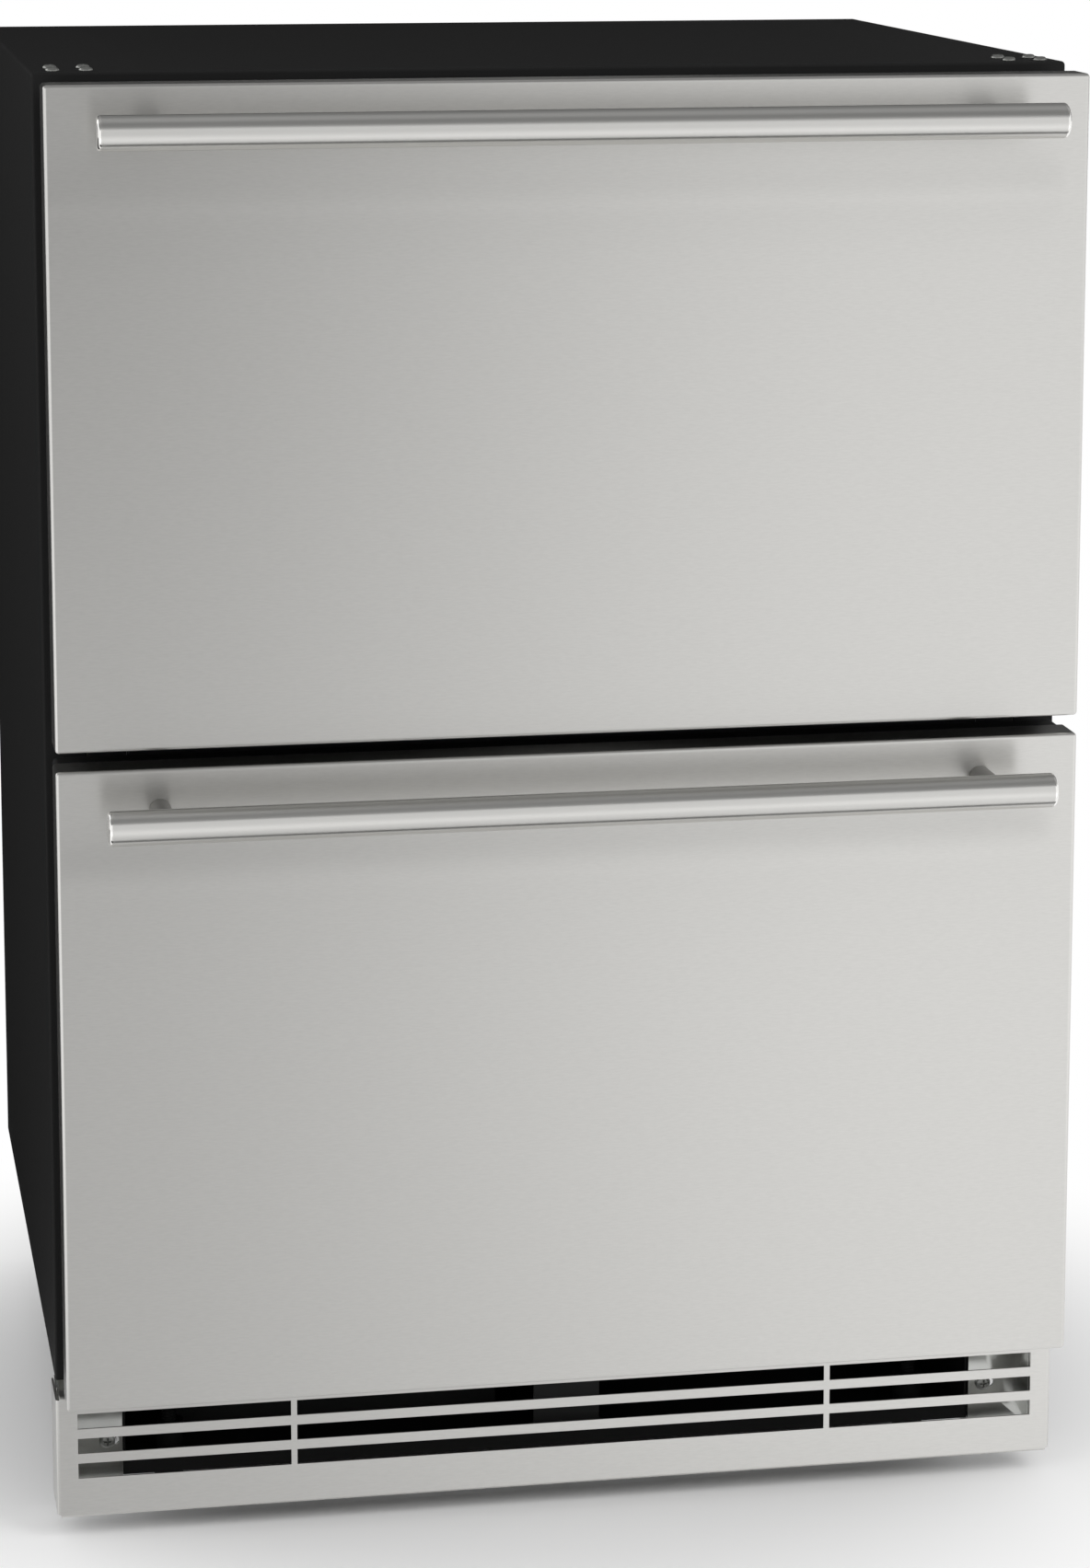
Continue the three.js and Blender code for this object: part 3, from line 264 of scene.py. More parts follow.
def softened(node, width):
    """A merged copy of a CAD node with rounded edges."""
    made = new_object(f"{node}_dressed", np.empty((0, 3)), [])
    copy = bmesh.new()
    copy.from_mesh(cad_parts[node].data)
    bmesh.ops.remove_doubles(copy, verts=copy.verts, dist=MERGE_DISTANCE)
    bmesh.ops.dissolve_limit(copy, angle_limit=FLAT_ANGLE, verts=copy.verts, edges=copy.edges)
    copy.to_mesh(made.data)
    copy.free()
    shade(made)
    bevel(made, width)
    return made


print("points closer than", MERGE_DISTANCE * METRE, "mm are merged")

# %% [markdown]
# ## Colours and nodes
# A hex colour is written as a screen shows it, and a shader works in linear light, so one
# function turns the first into the second. Another adds a shader node of any kind with its
# settings, values and links, so that a material reads as a short list of nodes.

# %% Helpers for materials
def linear(text):
    """A screen value c gives c / 12.92 up to 0.04, and ((c + 0.055) / 1.055) ^ 2.4 above."""
    screen = np.array([int(text[i : i + 2], 16) for i in (1, 3, 5)]) / 255
    low = screen / 12.92
    high = ((screen + 0.055) / 1.055) ** 2.4
    return (*np.where(screen <= 0.04045, low, high).tolist(), 1.0)


def add_node(tree, kind, sockets=None, **settings):
    """Adds a node. A socket gets a value, or a link from an output or a node's first output."""
    made = tree.nodes.new(f"ShaderNode{kind}")
    for key, value in settings.items():
        setattr(made, key, value)
    for key, value in (sockets or {}).items():
        source = value.outputs[0] if isinstance(value, bpy.types.Node) else value
        if isinstance(source, bpy.types.NodeSocket):
            tree.links.new(source, made.inputs[key])
        else:
            made.inputs[key].default_value = source
    return made


def empty_tree(owner):
    """Clears the nodes of a material or a world, and returns its tree."""
    owner.use_nodes = True
    owner.node_tree.nodes.clear()
    return owner.node_tree


print("half of a screen's white is", round(linear("#808080")[0], 3), "in linear light")

# %% [markdown]
# ## World
# The picture's background is plain white. The world is white for the rays that come from the
# camera or from a mirror, and a little softer for the light that it sends out.

# %% World
WORLD_LIGHT = 0.72


def seen_rays(tree):
    """One where a ray comes from the camera, a reflection or a glass: the largest of the three."""
    rays = add_node(tree, "LightPath").outputs
    pair = {0: rays["Is Camera Ray"], 1: rays["Is Glossy Ray"]}
    seen = add_node(tree, "Math", pair, operation="MAXIMUM")
    return add_node(tree, "Math", {0: seen, 1: rays["Is Transmission Ray"]}, operation="MAXIMUM")


world = bpy.data.worlds.new("studio")
bpy.context.scene.world = world
tree = empty_tree(world)
light_part, seen_part = (
    add_node(tree, "Background", {"Color": linear("#ffffff"), "Strength": strength})
    for strength in (WORLD_LIGHT, 1.0)
)
world_mix = add_node(tree, "MixShader", {0: seen_rays(tree), 1: light_part, 2: seen_part})
add_node(tree, "OutputWorld", {"Surface": world_mix})
print("world light", WORLD_LIGHT)

# %% [markdown]
# ## Floor
# The floor is a wide disc. Close to the object it is pale paint that takes its shadow.
# Further out it is plain white for the camera and for mirrors, so that no edge of it shows.

# %% Floor
FLOOR_RADIUS = 14.0
FLOOR_SIDES = 96
SHADOW_NEAR = 0.26
SHADOW_FAR = 0.60
FLOOR_SHADE = "#f6f6f6"

disc = lay(circle((0, 0), FLOOR_RADIUS * METRE, FLOOR_SIDES), Z, 0)
floor = new_object("floor", disc, [list(range(FLOOR_SIDES))])

paint = bpy.data.materials.new("floor_paint")
tree = empty_tree(paint)
place = add_node(tree, "TexCoord").outputs["Object"]
distance = add_node(tree, "VectorMath", {0: place}, operation="LENGTH").outputs["Value"]
reach = {"Value": distance, "From Min": SHADOW_NEAR, "From Max": SHADOW_FAR}
far = add_node(tree, "MapRange", reach, interpolation_type="SMOOTHSTEP")
seen_far = add_node(tree, "Math", {0: seen_rays(tree), 1: far}, operation="MULTIPLY")
painted = add_node(tree, "BsdfDiffuse", {"Color": linear(FLOOR_SHADE)})
white = add_node(tree, "Emission", {"Strength": 1.0})
floor_mix = add_node(tree, "MixShader", {0: seen_far, 1: painted, 2: white})
add_node(tree, "OutputMaterial", {"Surface": floor_mix})
floor.data.materials.append(paint)
print("floor", FLOOR_RADIUS, "m")

# %% [markdown]
# ## Lamps
# Two large soft lamps light the paint and the plastics: a stronger one high on the right and a
# weaker one high on the left. Reflections leave them out, because the cards decide what the
# steel shows.

# %% Lamps
LAMP_TARGET = Vector((0, 0, 0.5))
LAMPS = {
    "key": {"place": (2.2, -2.6, 2.6), "size": 2.0, "power": 46},
    "fill": {"place": (-2.6, -2.0, 2.2), "size": 2.2, "power": 20},
}

for name, setting in LAMPS.items():
    light = bpy.data.lights.new(name, "AREA")
    light.shape = "DISK"
    light.size = setting["size"]
    light.energy = setting["power"]
    lamp = bpy.data.objects.new(name, light)
    lamp.location = setting["place"]
    lamp.rotation_euler = (lamp.location - LAMP_TARGET).to_track_quat("Z", "Y").to_euler()
    lamp.visible_camera = False
    lamp.visible_glossy = False
    bpy.context.scene.collection.objects.link(lamp)
print("lamps", list(LAMPS))

# %% [markdown]
# ## Cards
# Stainless steel has hardly any colour of its own. It shows the room, so the room decides how it
# looks. A photographer sets cards round such an object, and so does this script. A card is a
# flat face that glows. Only reflections see it, so it adds nothing to the paint. Its brightness
# is a starting value plus a few smooth steps, each along one axis.

# %% Making a card
CARD_LIFT = 0.002


def stepped(start, *steps):
    """The start, plus each step's amount times a smooth rise from 0 to 1 over its reach."""

    def glow(tree, place):
        total = start
        for axis, (begin, end), amount in steps:
            reach = {"Value": place[axis], "From Min": begin, "From Max": end, "To Max": amount}
            rise = add_node(tree, "MapRange", reach, interpolation_type="SMOOTHSTEP")
            total = add_node(tree, "Math", {0: total, 1: rise}, operation="ADD")
        return total

    return glow


def reflection_card(name, x, y, z, glow):
    """A card with a corner at each mix of the ends. One of the axes has only one value."""
    corners = np.stack(np.meshgrid(x, y, z), -1).reshape(-1, 3)
    card = new_object(name, corners * METRE, [[0, 1, 3, 2]])
    for ray in ("camera", "diffuse", "transmission", "shadow"):
        setattr(card, f"visible_{ray}", False)
    surface = bpy.data.materials.new(name)
    tree = empty_tree(surface)
    place = add_node(tree, "TexCoord").outputs["Object"]
    parts = add_node(tree, "SeparateXYZ", {0: place}).outputs
    light = add_node(tree, "Emission", {"Strength": glow(tree, parts)})
    add_node(tree, "OutputMaterial", {"Surface": light})
    card.data.materials.append(surface)
    print("card", name)


print("a card on the floor lies", CARD_LIFT, "m above it")

# %% [markdown]
# ### Front card
# The faces of the fronts show this card, and their lowest part and the grille show the floor just
# before them. Both are darker on the left and lighter on the right, so the steel is too. At its
# left edge the card is bright again, and the fronts' left folds catch that.

# %% Front card
CARD_DISTANCE = 1.15
CARD_SPAN = (-0.58, 0.72)
CARD_HEIGHT = 1.15
CARD_LEFT_FADE = (-0.58, -0.42)
CARD_FADE = (-0.38, 0.52)
CARD_RISE = (0.25, 0.8)
CARD_DARK = (0.58, 0.41)
CARD_BRIGHT = (1.01, 0.97)
FLOOR_CARD_START = 0.22
FLOOR_CARD_FADE = (-0.40, 0.44)


def front_glow(tree, place):
    """Dark on the left and bright on the right, and both a little darker towards the top."""
    dark, bright = (
        stepped(foot, ("Z", CARD_RISE, top - foot))(tree, place)
        for foot, top in (CARD_DARK, CARD_BRIGHT)
    )
    part = stepped(1.0, ("X", CARD_LEFT_FADE, -1.0), ("X", CARD_FADE, 1.0))(tree, place)
    return add_node(tree, "Mix", {"Factor": part, "A": dark, "B": bright})


contrast = CARD_BRIGHT[0] - CARD_DARK[0]
floor_glow = stepped(
    CARD_BRIGHT[0], ("X", CARD_LEFT_FADE, -contrast), ("X", FLOOR_CARD_FADE, contrast)
)
upright = (0.0, CARD_HEIGHT)
floor_span = (-CARD_DISTANCE, -FLOOR_CARD_START)
reflection_card("front_card", CARD_SPAN, -CARD_DISTANCE, upright, front_glow)
reflection_card("floor_card", CARD_SPAN, floor_span, CARD_LIFT, floor_glow)

# %% [markdown]
# ### Wings
# The card goes on to both sides, and so does the floor before it. The wings show in the handles,
# and in the fronts when seen from one side. They are brightest at the floor.

# %% Wings
WING_WIDTH = 1.2
WING_SHADE = 1.3
WING_FALL = -0.3
WING_FADE = (0.05, 0.5)
WING_FLOOR = (-2.2, -0.75)
WINGS = {
    "left_wing": (CARD_SPAN[0] - WING_WIDTH, CARD_SPAN[0]),
    "right_wing": (CARD_SPAN[1], CARD_SPAN[1] + WING_WIDTH),
}

wing_glow = stepped(WING_SHADE, ("Z", WING_FADE, WING_FALL))
for name, span in WINGS.items():
    reflection_card(name, span, -CARD_DISTANCE, upright, wing_glow)
    reflection_card(f"{name}_floor", span, WING_FLOOR, CARD_LIFT, wing_glow)

# %% [markdown]
# ### Ceiling
# The upper half of each handle shows the ceiling. It is nearly white at its front edge and grey
# behind that, which draws the dark band along a bar, and a little lighter overhead.

# %% Ceiling
CEILING_HEIGHT = 3.4
CEILING_WIDTH = (-5.0, 5.0)
CEILING_DEPTH = (-8.0, 8.0)
CEILING_SHADE = 0.88
FRONT_FADE = (-8.0, -2.4)
FRONT_FALL = -0.63
OVERHEAD_FADE = (-1.4, -0.3)
OVERHEAD_RISE = 0.13
REAR_FADE = (0.3, 1.5)
REAR_FALL = -0.15

ceiling_glow = stepped(
    CEILING_SHADE,
    ("Y", FRONT_FADE, FRONT_FALL),
    ("Y", OVERHEAD_FADE, OVERHEAD_RISE),
    ("Y", REAR_FADE, REAR_FALL),
)
reflection_card("ceiling_card", CEILING_WIDTH, CEILING_DEPTH, CEILING_HEIGHT, ceiling_glow)

# %% [markdown]
# ### Back and side cards
# The black top and side are seen at a low angle and show what stands behind them, so dark cards
# stand and lie there. A bright card high on the left flashes on the rim of the bars' left ends,
# and a dark one on the right calms their right ends.

# %% Back and side cards
BACK_DISTANCE = 2.2
BACK_SPAN = (-4.0, 1.4)
BACK_HEIGHT = 2.2
BACK_FLOOR_SPAN = (-4.0, -0.31)
BACK_START = 0.06
BACK_SHADE = 0.03
SIDE_CARDS = {
    "left_side_card": {"x": -1.6, "y": (0.1, 1.6), "z": (1.15, 2.0), "glow": stepped(1.8)},
    "right_side_card": {"x": 1.6, "y": (-0.2, 1.6), "z": (0.75, 1.8), "glow": stepped(0.3)},
}

dark_glow = stepped(BACK_SHADE)
back_floor = (BACK_START, BACK_DISTANCE)
reflection_card("back_card", BACK_SPAN, BACK_DISTANCE, (0.0, BACK_HEIGHT), dark_glow)
reflection_card("back_floor_card", BACK_FLOOR_SPAN, back_floor, CARD_LIFT, dark_glow)
for name, card in SIDE_CARDS.items():
    reflection_card(name, **card)

# %% [markdown]
# ### Strips under the bars
# A narrow dark strip lies level under each bar. Steep rays from the bar's underside see all of
# it and draw a dark line. Rays from the front see it edge-on, so it leaves no mark there.

# %% Strips under the bars
STRIP_SPAN = (-0.3, 0.3)
STRIP_REACH = (0.006, 0.02)
STRIP_DROP = 0.047
STRIP_SHADE = 0.05

for drawer in DRAWERS:
    low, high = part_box(f"{drawer}_handle_bar")
    bar_y, bar_z = (low[1] + high[1]) / 2, (low[2] + high[2]) / 2
    reach = [bar_y - forward for forward in STRIP_REACH]
    strip_glow = stepped(STRIP_SHADE)
    reflection_card(f"{drawer}_strip", STRIP_SPAN, reach, bar_z - STRIP_DROP, strip_glow)

# %% [markdown]
# ## Finishes
# Each finish starts from what the real one is and how its surface was made. Nearly all carry
# marks of one size, so one function draws those: they tilt the surface and change its roughness
# a little. Patterns read Object coordinates, which are metres from the origin, so a pattern's
# scale is one over its size in metres.

# %% Parts that every finish shares
FINISHES = {}


def marks(size, depth, roughness, shades=None, stretch=(1.0, 1.0, 1.0), detail=2.0):
    """Clouds c of a size in mm: height = depth c, roughness and shade = low + (high - low) c."""

    def draw(tree):
        place = add_node(tree, "TexCoord").outputs["Object"]
        stretched = add_node(tree, "Mapping", {"Vector": place, "Scale": stretch})
        grain = {"Vector": stretched, "Scale": METRE / size, "Detail": detail}
        clouds = add_node(tree, "TexNoise", grain)
        span = {"Value": clouds, "To Min": roughness[0], "To Max": roughness[1]}
        sockets = {"Roughness": add_node(tree, "MapRange", span)}
        if depth:
            slope = {"Height": clouds, "Distance": depth / METRE}
            sockets["Normal"] = add_node(tree, "Bump", slope)
        if shades:
            pair = {"Factor": clouds, "A": linear(shades[0]), "B": linear(shades[1])}
            mixed = add_node(tree, "Mix", pair, data_type="RGBA")
            sockets["Base Color"] = mixed.outputs["Result"]
        return sockets

    return draw


def make_finish(name, slot, plain, draw):
    """A material with one shader: plain values for some sockets, and drawn patterns for others."""
    material = bpy.data.materials.new(name)
    tree = empty_tree(material)
    shader = add_node(tree, "BsdfPrincipled", plain | draw(tree))
    add_node(tree, "OutputMaterial", {"Surface": shader})
    FINISHES[name] = material
    print("finish", name, "in slot", slot)


def metal(colour):
    """The plain values of a bare metal of one colour."""
    return {"Base Color": linear(colour), "Metallic": 1.0}


print("a pattern of 1 mm has the scale", METRE)

# %% [markdown]
# ### Stainless steel sheet, brushed and then clear-lacquered
# The drawer fronts and the grille are polished along their width with a fine belt. The eye sees
# a soft mirror with hairlines too fine to count, and slow waves where the sheet isn't quite flat.
# The hairlines are drawn coarser than real ones, so that they show at all.

# %% Stainless sheet
GRAIN_WIDTH = 0.8
GRAIN_LENGTH = 5.0
GRAIN_DEPTH = 0.0016
GRAIN_STRETCH = (GRAIN_WIDTH / GRAIN_LENGTH, 1.0, 1.0)
GRAIN_SHADES = ("#cfcecb", "#dad9d6")
WAVE_SIZE = 160.0
WAVE_DEPTH = 0.05
NEARLY_UPRIGHT = (0.0, 0.02, 1.0)


def brushed_sheet(tree):
    """Hairlines that run along X, with a slow wave over them."""
    grain = marks(GRAIN_WIDTH, GRAIN_DEPTH, (0.27, 0.33), GRAIN_SHADES, GRAIN_STRETCH)
    sockets = grain(tree)
    place = add_node(tree, "TexCoord").outputs["Object"]
    clouds = {"Vector": place, "Scale": METRE / WAVE_SIZE, "Detail": 0.0}
    wave = add_node(tree, "TexNoise", clouds)
    slope = {"Height": wave, "Distance": WAVE_DEPTH / METRE, "Normal": sockets["Normal"]}
    return sockets | {
        "Tangent": add_node(tree, "CombineXYZ", dict(enumerate(NEARLY_UPRIGHT))),
        "Normal": add_node(tree, "Bump", slope),
    }


plain = {"Metallic": 1.0, "Anisotropic": 0.7}
make_finish("brushed_stainless_sheet", "stainless", plain, brushed_sheet)

# %% [markdown]
# ### Stainless steel bar, turned
# The bars are drawn round stock, polished while they turn. The marks run round the bar, so the
# pattern is long across the axis and short along it. They are coarser than real ones, and so are
# the traces on the ends and the dents on the posts.

# %% Stainless bar
TURN_PITCH = 0.6
TURN_DEPTH = 0.0012
TURN_STRETCH = (1.0, 0.05, 0.05)
NEARLY_ALONG = (1.0, 0.02, 0.0)


def turned_bar(tree):
    """Fine rings round X, which draw the highlight out along the bar's turn."""
    sockets = marks(TURN_PITCH, TURN_DEPTH, (0.36, 0.4), stretch=TURN_STRETCH)(tree)
    along = add_node(tree, "CombineXYZ", dict(enumerate(NEARLY_ALONG)))
    return sockets | {"Tangent": along}


plain = metal("#e7e6e3") | {"Anisotropic": 1.0}
make_finish("turned_stainless_bar", "handle_stainless", plain, turned_bar)

# %% [markdown]
# ### Stainless steel ends and posts
# The bar's ends are faced off and polished, so they are smoother than the bar. Their paler colour
# is a painted highlight, which makes their rim flash white. The posts carry fine dents, and their
# darker colour is painted shade: a post stands in the shade between the bar and the door.

# %% Stainless ends and posts
POLISH_SIZE = 0.5
BLAST_SIZE = 0.7
BLAST_DEPTH = 0.006

traces = marks(POLISH_SIZE, None, (0.08, 0.12))
dents = marks(BLAST_SIZE, BLAST_DEPTH, (0.4, 0.48))
# Ends: the low roughness is real polish, and the paler colour is a painted highlight.
make_finish("polished_stainless_end_with_painted_highlight", "handle_stainless", metal("#f4f3f0"), traces)
# Posts: the dents are a real texture, and the darker colour is painted shade from the bar and door.
make_finish("painted_shade_stainless_post", "handle_stainless", metal("#93928f"), dents)

# %% [markdown]
# ### Powder-coated steel
# The cabinet is painted black with a powder that flows and sets in an oven. It leaves a fine
# orange peel, which breaks the reflection up, so the black stays black even at a low angle.

# %% Powder coat
PEEL_SIZE = 0.9
PEEL_DEPTH = 0.012

plain = {"Base Color": linear("#1e1e1e"), "Specular IOR Level": 0.1}
peel = marks(PEEL_SIZE, PEEL_DEPTH, (0.5, 0.62))
make_finish("black_powder_coat", "black_paint", plain, peel)

# %% [markdown]
# ### Galvanised sheet
# Hot-dipped sheet freezes in flat crystals a few millimetres wide. The eye sees a patchwork of
# greys, a little shinier in one crystal than in the next.

# %% Galvanised sheet
SPANGLE_SIZE = 5.0


def spangle(tree):
    """Flat cells, each with a random grey and a random roughness."""
    place = add_node(tree, "TexCoord").outputs["Object"]
    cells = add_node(tree, "TexVoronoi", {"Vector": place, "Scale": METRE / SPANGLE_SIZE})
    flake = add_node(tree, "SeparateColor", {0: cells.outputs["Color"]}).outputs
    shades = {"Factor": flake[0], "A": linear("#9b9d9c"), "B": linear("#a9abaa")}
    span = {"Value": flake[1], "To Min": 0.38, "To Max": 0.52}
    return {
        "Base Color": add_node(tree, "Mix", shades, data_type="RGBA").outputs["Result"],
        "Roughness": add_node(tree, "MapRange", span),
    }


make_finish("galvanised_sheet", "galvanised", {"Metallic": 0.9}, spangle)

# %% [markdown]
# ### Zinc plate
# A plated slide is a bright, slightly cloudy metal. A screw's zinc is passivated in a bath that
# leaves it greyer and duller.

# %% Zinc plate
PLATE_CLOUD_SIZE = 9.0
SCREW_CLOUD_SIZE = 2.0
CLOUD_DETAIL = 3.0

plate_clouds = marks(PLATE_CLOUD_SIZE, None, (0.12, 0.24), detail=CLOUD_DETAIL)
screw_clouds = marks(SCREW_CLOUD_SIZE, None, (0.3, 0.42), detail=CLOUD_DETAIL)
make_finish("zinc_plate", "zinc", metal("#c6c7c4"), plate_clouds)
make_finish("passivated_zinc_screw", "zinc", metal("#9c9d9a"), screw_clouds)

# %% [markdown]
# ### Moulded plastics and rubber
# Moulded parts copy the texture of their mould: a fine, even grain. The plastics differ in
# colour, in gloss and in how coarse that grain is, so one loop makes them all.

# %% Plastics
ROUGHNESS_SWING = 0.04
# Slot, colour, roughness, specular level, and the grain's size and depth in millimetres.
PLASTICS = {
    # Doors and ducts: a satin black.
    "black_abs": ("black_plastic", "#1b1b1b", 0.5, 0.35, 0.9, 0.01),
    # Touch panel: a black mirror, a little wavy.
    "gloss_black_acrylic": ("gloss_black", "#0b0b0c", 0.08, 0.5, 30.0, 0.002),
    # Gaskets: matt and soft, with a coarse grain.
    "gasket_rubber": ("rubber", "#1a1a1a", 0.7, 0.25, 1.2, 0.02),
    # Control box: a plain satin grey.
    "grey_abs": ("grey_plastic", "#8f9193", 0.45, 0.4, 1.0, 0.012),
    # Bins: pale, smooth and a little waxy.
    "bin_polypropylene": ("bin_plastic", "#d3d6d7", 0.36, 0.5, 1.4, 0.008),
    # Liner: a clean white with a soft gloss.
    "white_polystyrene": ("white_plastic", "#e6e7e6", 0.32, 0.5, 1.6, 0.006),
    # Lamp: a pale lens with a pebbled face.
    "lamp_polycarbonate": ("lamp_lens", "#f4f4ef", 0.25, 0.5, 2.2, 0.02),
}

for name, (slot, colour, roughness, level, size, depth) in PLASTICS.items():
    plain = {"Base Color": linear(colour), "Specular IOR Level": level}
    span = (roughness - ROUGHNESS_SWING, roughness + ROUGHNESS_SWING)
    make_finish(name, slot, plain, marks(size, depth, span))

# %% [markdown]
# ### Foam and coil metal
# Cut foam shows small round cells. The coils' fins are rolled from aluminium strip, and the rolls
# leave long streaks.

# %% Foam and coil metal
CELL_SIZE = 1.5
CELL_DEPTH = 0.4
STREAK_WIDTH = 0.6
STREAK_STRETCH = (1.0, 1.0, 0.08)


def cut_foam(tree):
    """Round cells: the surface rises with the distance from a cell's middle."""
    place = add_node(tree, "TexCoord").outputs["Object"]
    cells = add_node(tree, "TexVoronoi", {"Vector": place, "Scale": METRE / CELL_SIZE})
    slope = {"Height": cells.outputs["Distance"], "Distance": CELL_DEPTH / METRE}
    return {"Normal": add_node(tree, "Bump", slope)}


plain = {"Base Color": linear("#d8cda4"), "Roughness": 0.9}
make_finish("polyurethane_foam", "foam", plain, cut_foam)
streaks = marks(STREAK_WIDTH, None, (0.34, 0.46), stretch=STREAK_STRETCH)
make_finish("rolled_aluminium", "coil_metal", metal("#b9bbbc"), streaks)

# %% [markdown]
# ## Fitting a piece
# One function gives every piece its finish, hangs it on the body that it rides on and hides the
# CAD nodes that it stands for. A piece with two finishes gets the second one on faces that are
# chosen by their centres.

# %% Fitting a piece
def fit(made, body, finish, *nodes):
    """Says what a piece rides on, what it is made of and which CAD nodes it stands for."""
    made.data.materials.clear()
    made.data.materials.append(FINISHES[finish])
    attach(made, body)
    if nodes:
        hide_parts(*nodes)
    low = np.array(made.bound_box).min(0) * METRE
    high = np.array(made.bound_box).max(0) * METRE
    print(f"{made.name}: {len(made.data.polygons)} faces, {low.round(1)} to {high.round(1)}")


def face_centres(made):
    """Centres of the faces in millimetres."""
    centres = np.zeros(3 * len(made.data.polygons))
    made.data.polygons.foreach_get("center", centres)
    return centres.reshape(-1, 3) * METRE


def second_finish(made, finish, chosen):
    """Gives the chosen faces another finish than the rest of the piece."""
    made.data.materials.append(FINISHES[finish])
    made.data.polygons.foreach_set("material_index", chosen.astype(np.int32))
    print(f"{made.name}: {chosen.sum()} faces in {finish}")


print("finishes", len(FINISHES))

# %% [markdown]
# ## Drawer fronts
# Each front is a shallow pan: one sheet, folded back along its four sides over a small radius.
# The light catches on the fold and draws a thin bright line round the front. The pan is lofted
# from the flat face over the fold to the edge of the return, and then back along the inside. One
# more outline, close beside each fold, keeps the flat face flat in smooth shading.

# %% Drawer front skins
SKIN_SHEET = 1.0
FOLD_RADIUS = 2.0
FOLD_STEPS = 6
PLAN_RADIUS = 2.3
HOLD = 0.6


def fold(radius, face, steps=FOLD_STEPS):
    """A quarter roll: the outline shrinks by r (1 - sin a), r (1 - cos a) behind the face."""
    angle = np.linspace(0, np.pi / 2, steps + 1)
    return list(zip(radius * (1 - np.sin(angle)), face + radius * (1 - np.cos(angle))))


def nested(low, high, axis, steps, plan_radius):
    """Rounded rectangles set in by each step's first value, at the level of its second value."""
    across = [k for k in (X, Y, Z) if k != axis]
    low, high = low[across], high[across]
    return [
        lay(round_rectangle(low + inset, high - inset, plan_radius - inset), axis, level)
        for inset, level in steps
    ]


def drawer_front(drawer):
    """Face, fold and return from the outside, and the same way back one sheet further in."""
    low, high = box(f"{drawer}_front_skin")
    face, rear = low[Y], high[Y]
    outside = [(FOLD_RADIUS + HOLD, face), *fold(FOLD_RADIUS, face)]
    outside += [(0, face + FOLD_RADIUS + HOLD), (0, rear)]
    inner_fold = fold(FOLD_RADIUS - SKIN_SHEET, face + SKIN_SHEET)
    inside = [(inset + SKIN_SHEET, level) for inset, level in inner_fold]
    steps = outside + [(SKIN_SHEET, rear)] + inside[::-1]
    pan = build(f"{drawer}_front_pan", loft(nested(low, high, Y, steps, PLAN_RADIUS)))
    fit(pan, f"{drawer}_drawer", "brushed_stainless_sheet", f"{drawer}_front_skin")


for drawer in DRAWERS:
    drawer_front(drawer)

# %% [markdown]
# ## Inner doors and gaskets
# The inner door is a moulded black shell, filled with foam, that plugs the back of the pan. On
# its back runs the magnetic gasket: a soft hollow bead with ribs, mitred at the corners. Its
# section is carried round a rectangle, and that closes the loft on itself.

# %% Inner doors
DOOR_EDGE = 2.5
DOOR_FRONT_EDGE = 1.0
DOOR_CORNER = 3.2


def inner_door(drawer):
    """A block whose front edge is rolled over, and its back edge further."""
    low, high = box(f"{drawer}_front_body")
    front = fold(DOOR_FRONT_EDGE, low[Y])
    back = [(inset, 2 * high[Y] - level) for inset, level in fold(DOOR_EDGE, high[Y])]
    steps = [(DOOR_FRONT_EDGE + HOLD, low[Y]), *front, *back[::-1], (DOOR_EDGE + HOLD, high[Y])]
    door = build(f"{drawer}_inner_door", loft(nested(low, high, Y, steps, DOOR_CORNER)))
    fit(door, f"{drawer}_drawer", "black_abs", f"{drawer}_front_body")


for drawer in DRAWERS:
    inner_door(drawer)

# %% Gaskets
GASKET_WIDTH = 14.0
GASKET_CORNER = 1.5
GASKET_STEPS = 40
GASKET_SQUARENESS = 0.9
RIB_COUNT = 8
RIB_DEPTH = 0.9


def gasket(drawer):
    """Round a turn t the section reaches 1 / max(|cos t|, |sin t|) ^ 0.9, less a wave for ribs."""
    low, high = box(f"{drawer}_gasket")
    depth = high[Y] - low[Y]
    turn = full_turn(GASKET_STEPS)
    square = np.maximum(np.abs(np.cos(turn)), np.abs(np.sin(turn))) ** GASKET_SQUARENESS
    ribs = 1 - RIB_DEPTH / depth * (0.5 + 0.5 * np.cos(RIB_COUNT * turn))
    inset = GASKET_WIDTH / 2 * (1 + np.cos(turn) / square * ribs)
    level = low[Y] + depth / 2 * (1 + np.sin(turn) / square * ribs)
    steps = zip(np.clip(inset, 0, GASKET_WIDTH), np.clip(level, low[Y], high[Y]))
    rings = nested(low, high, Y, steps, GASKET_CORNER)
    bead = build(f"{drawer}_gasket_bead", loft(rings, closed=True))
    fit(bead, f"{drawer}_drawer", "gasket_rubber", f"{drawer}_gasket")


for drawer in DRAWERS:
    gasket(drawer)

# %% [markdown]
# ## Bar handles
# Each handle is a round bar on two round posts. The bar's ends are faced off with a small roll. A
# post's outer end is coped: its first ring lies on the bar's cylinder.

# %% Bars
BAR_SIDES = 96
CHAMFER = 2.2
CHAMFER_STEPS = 4


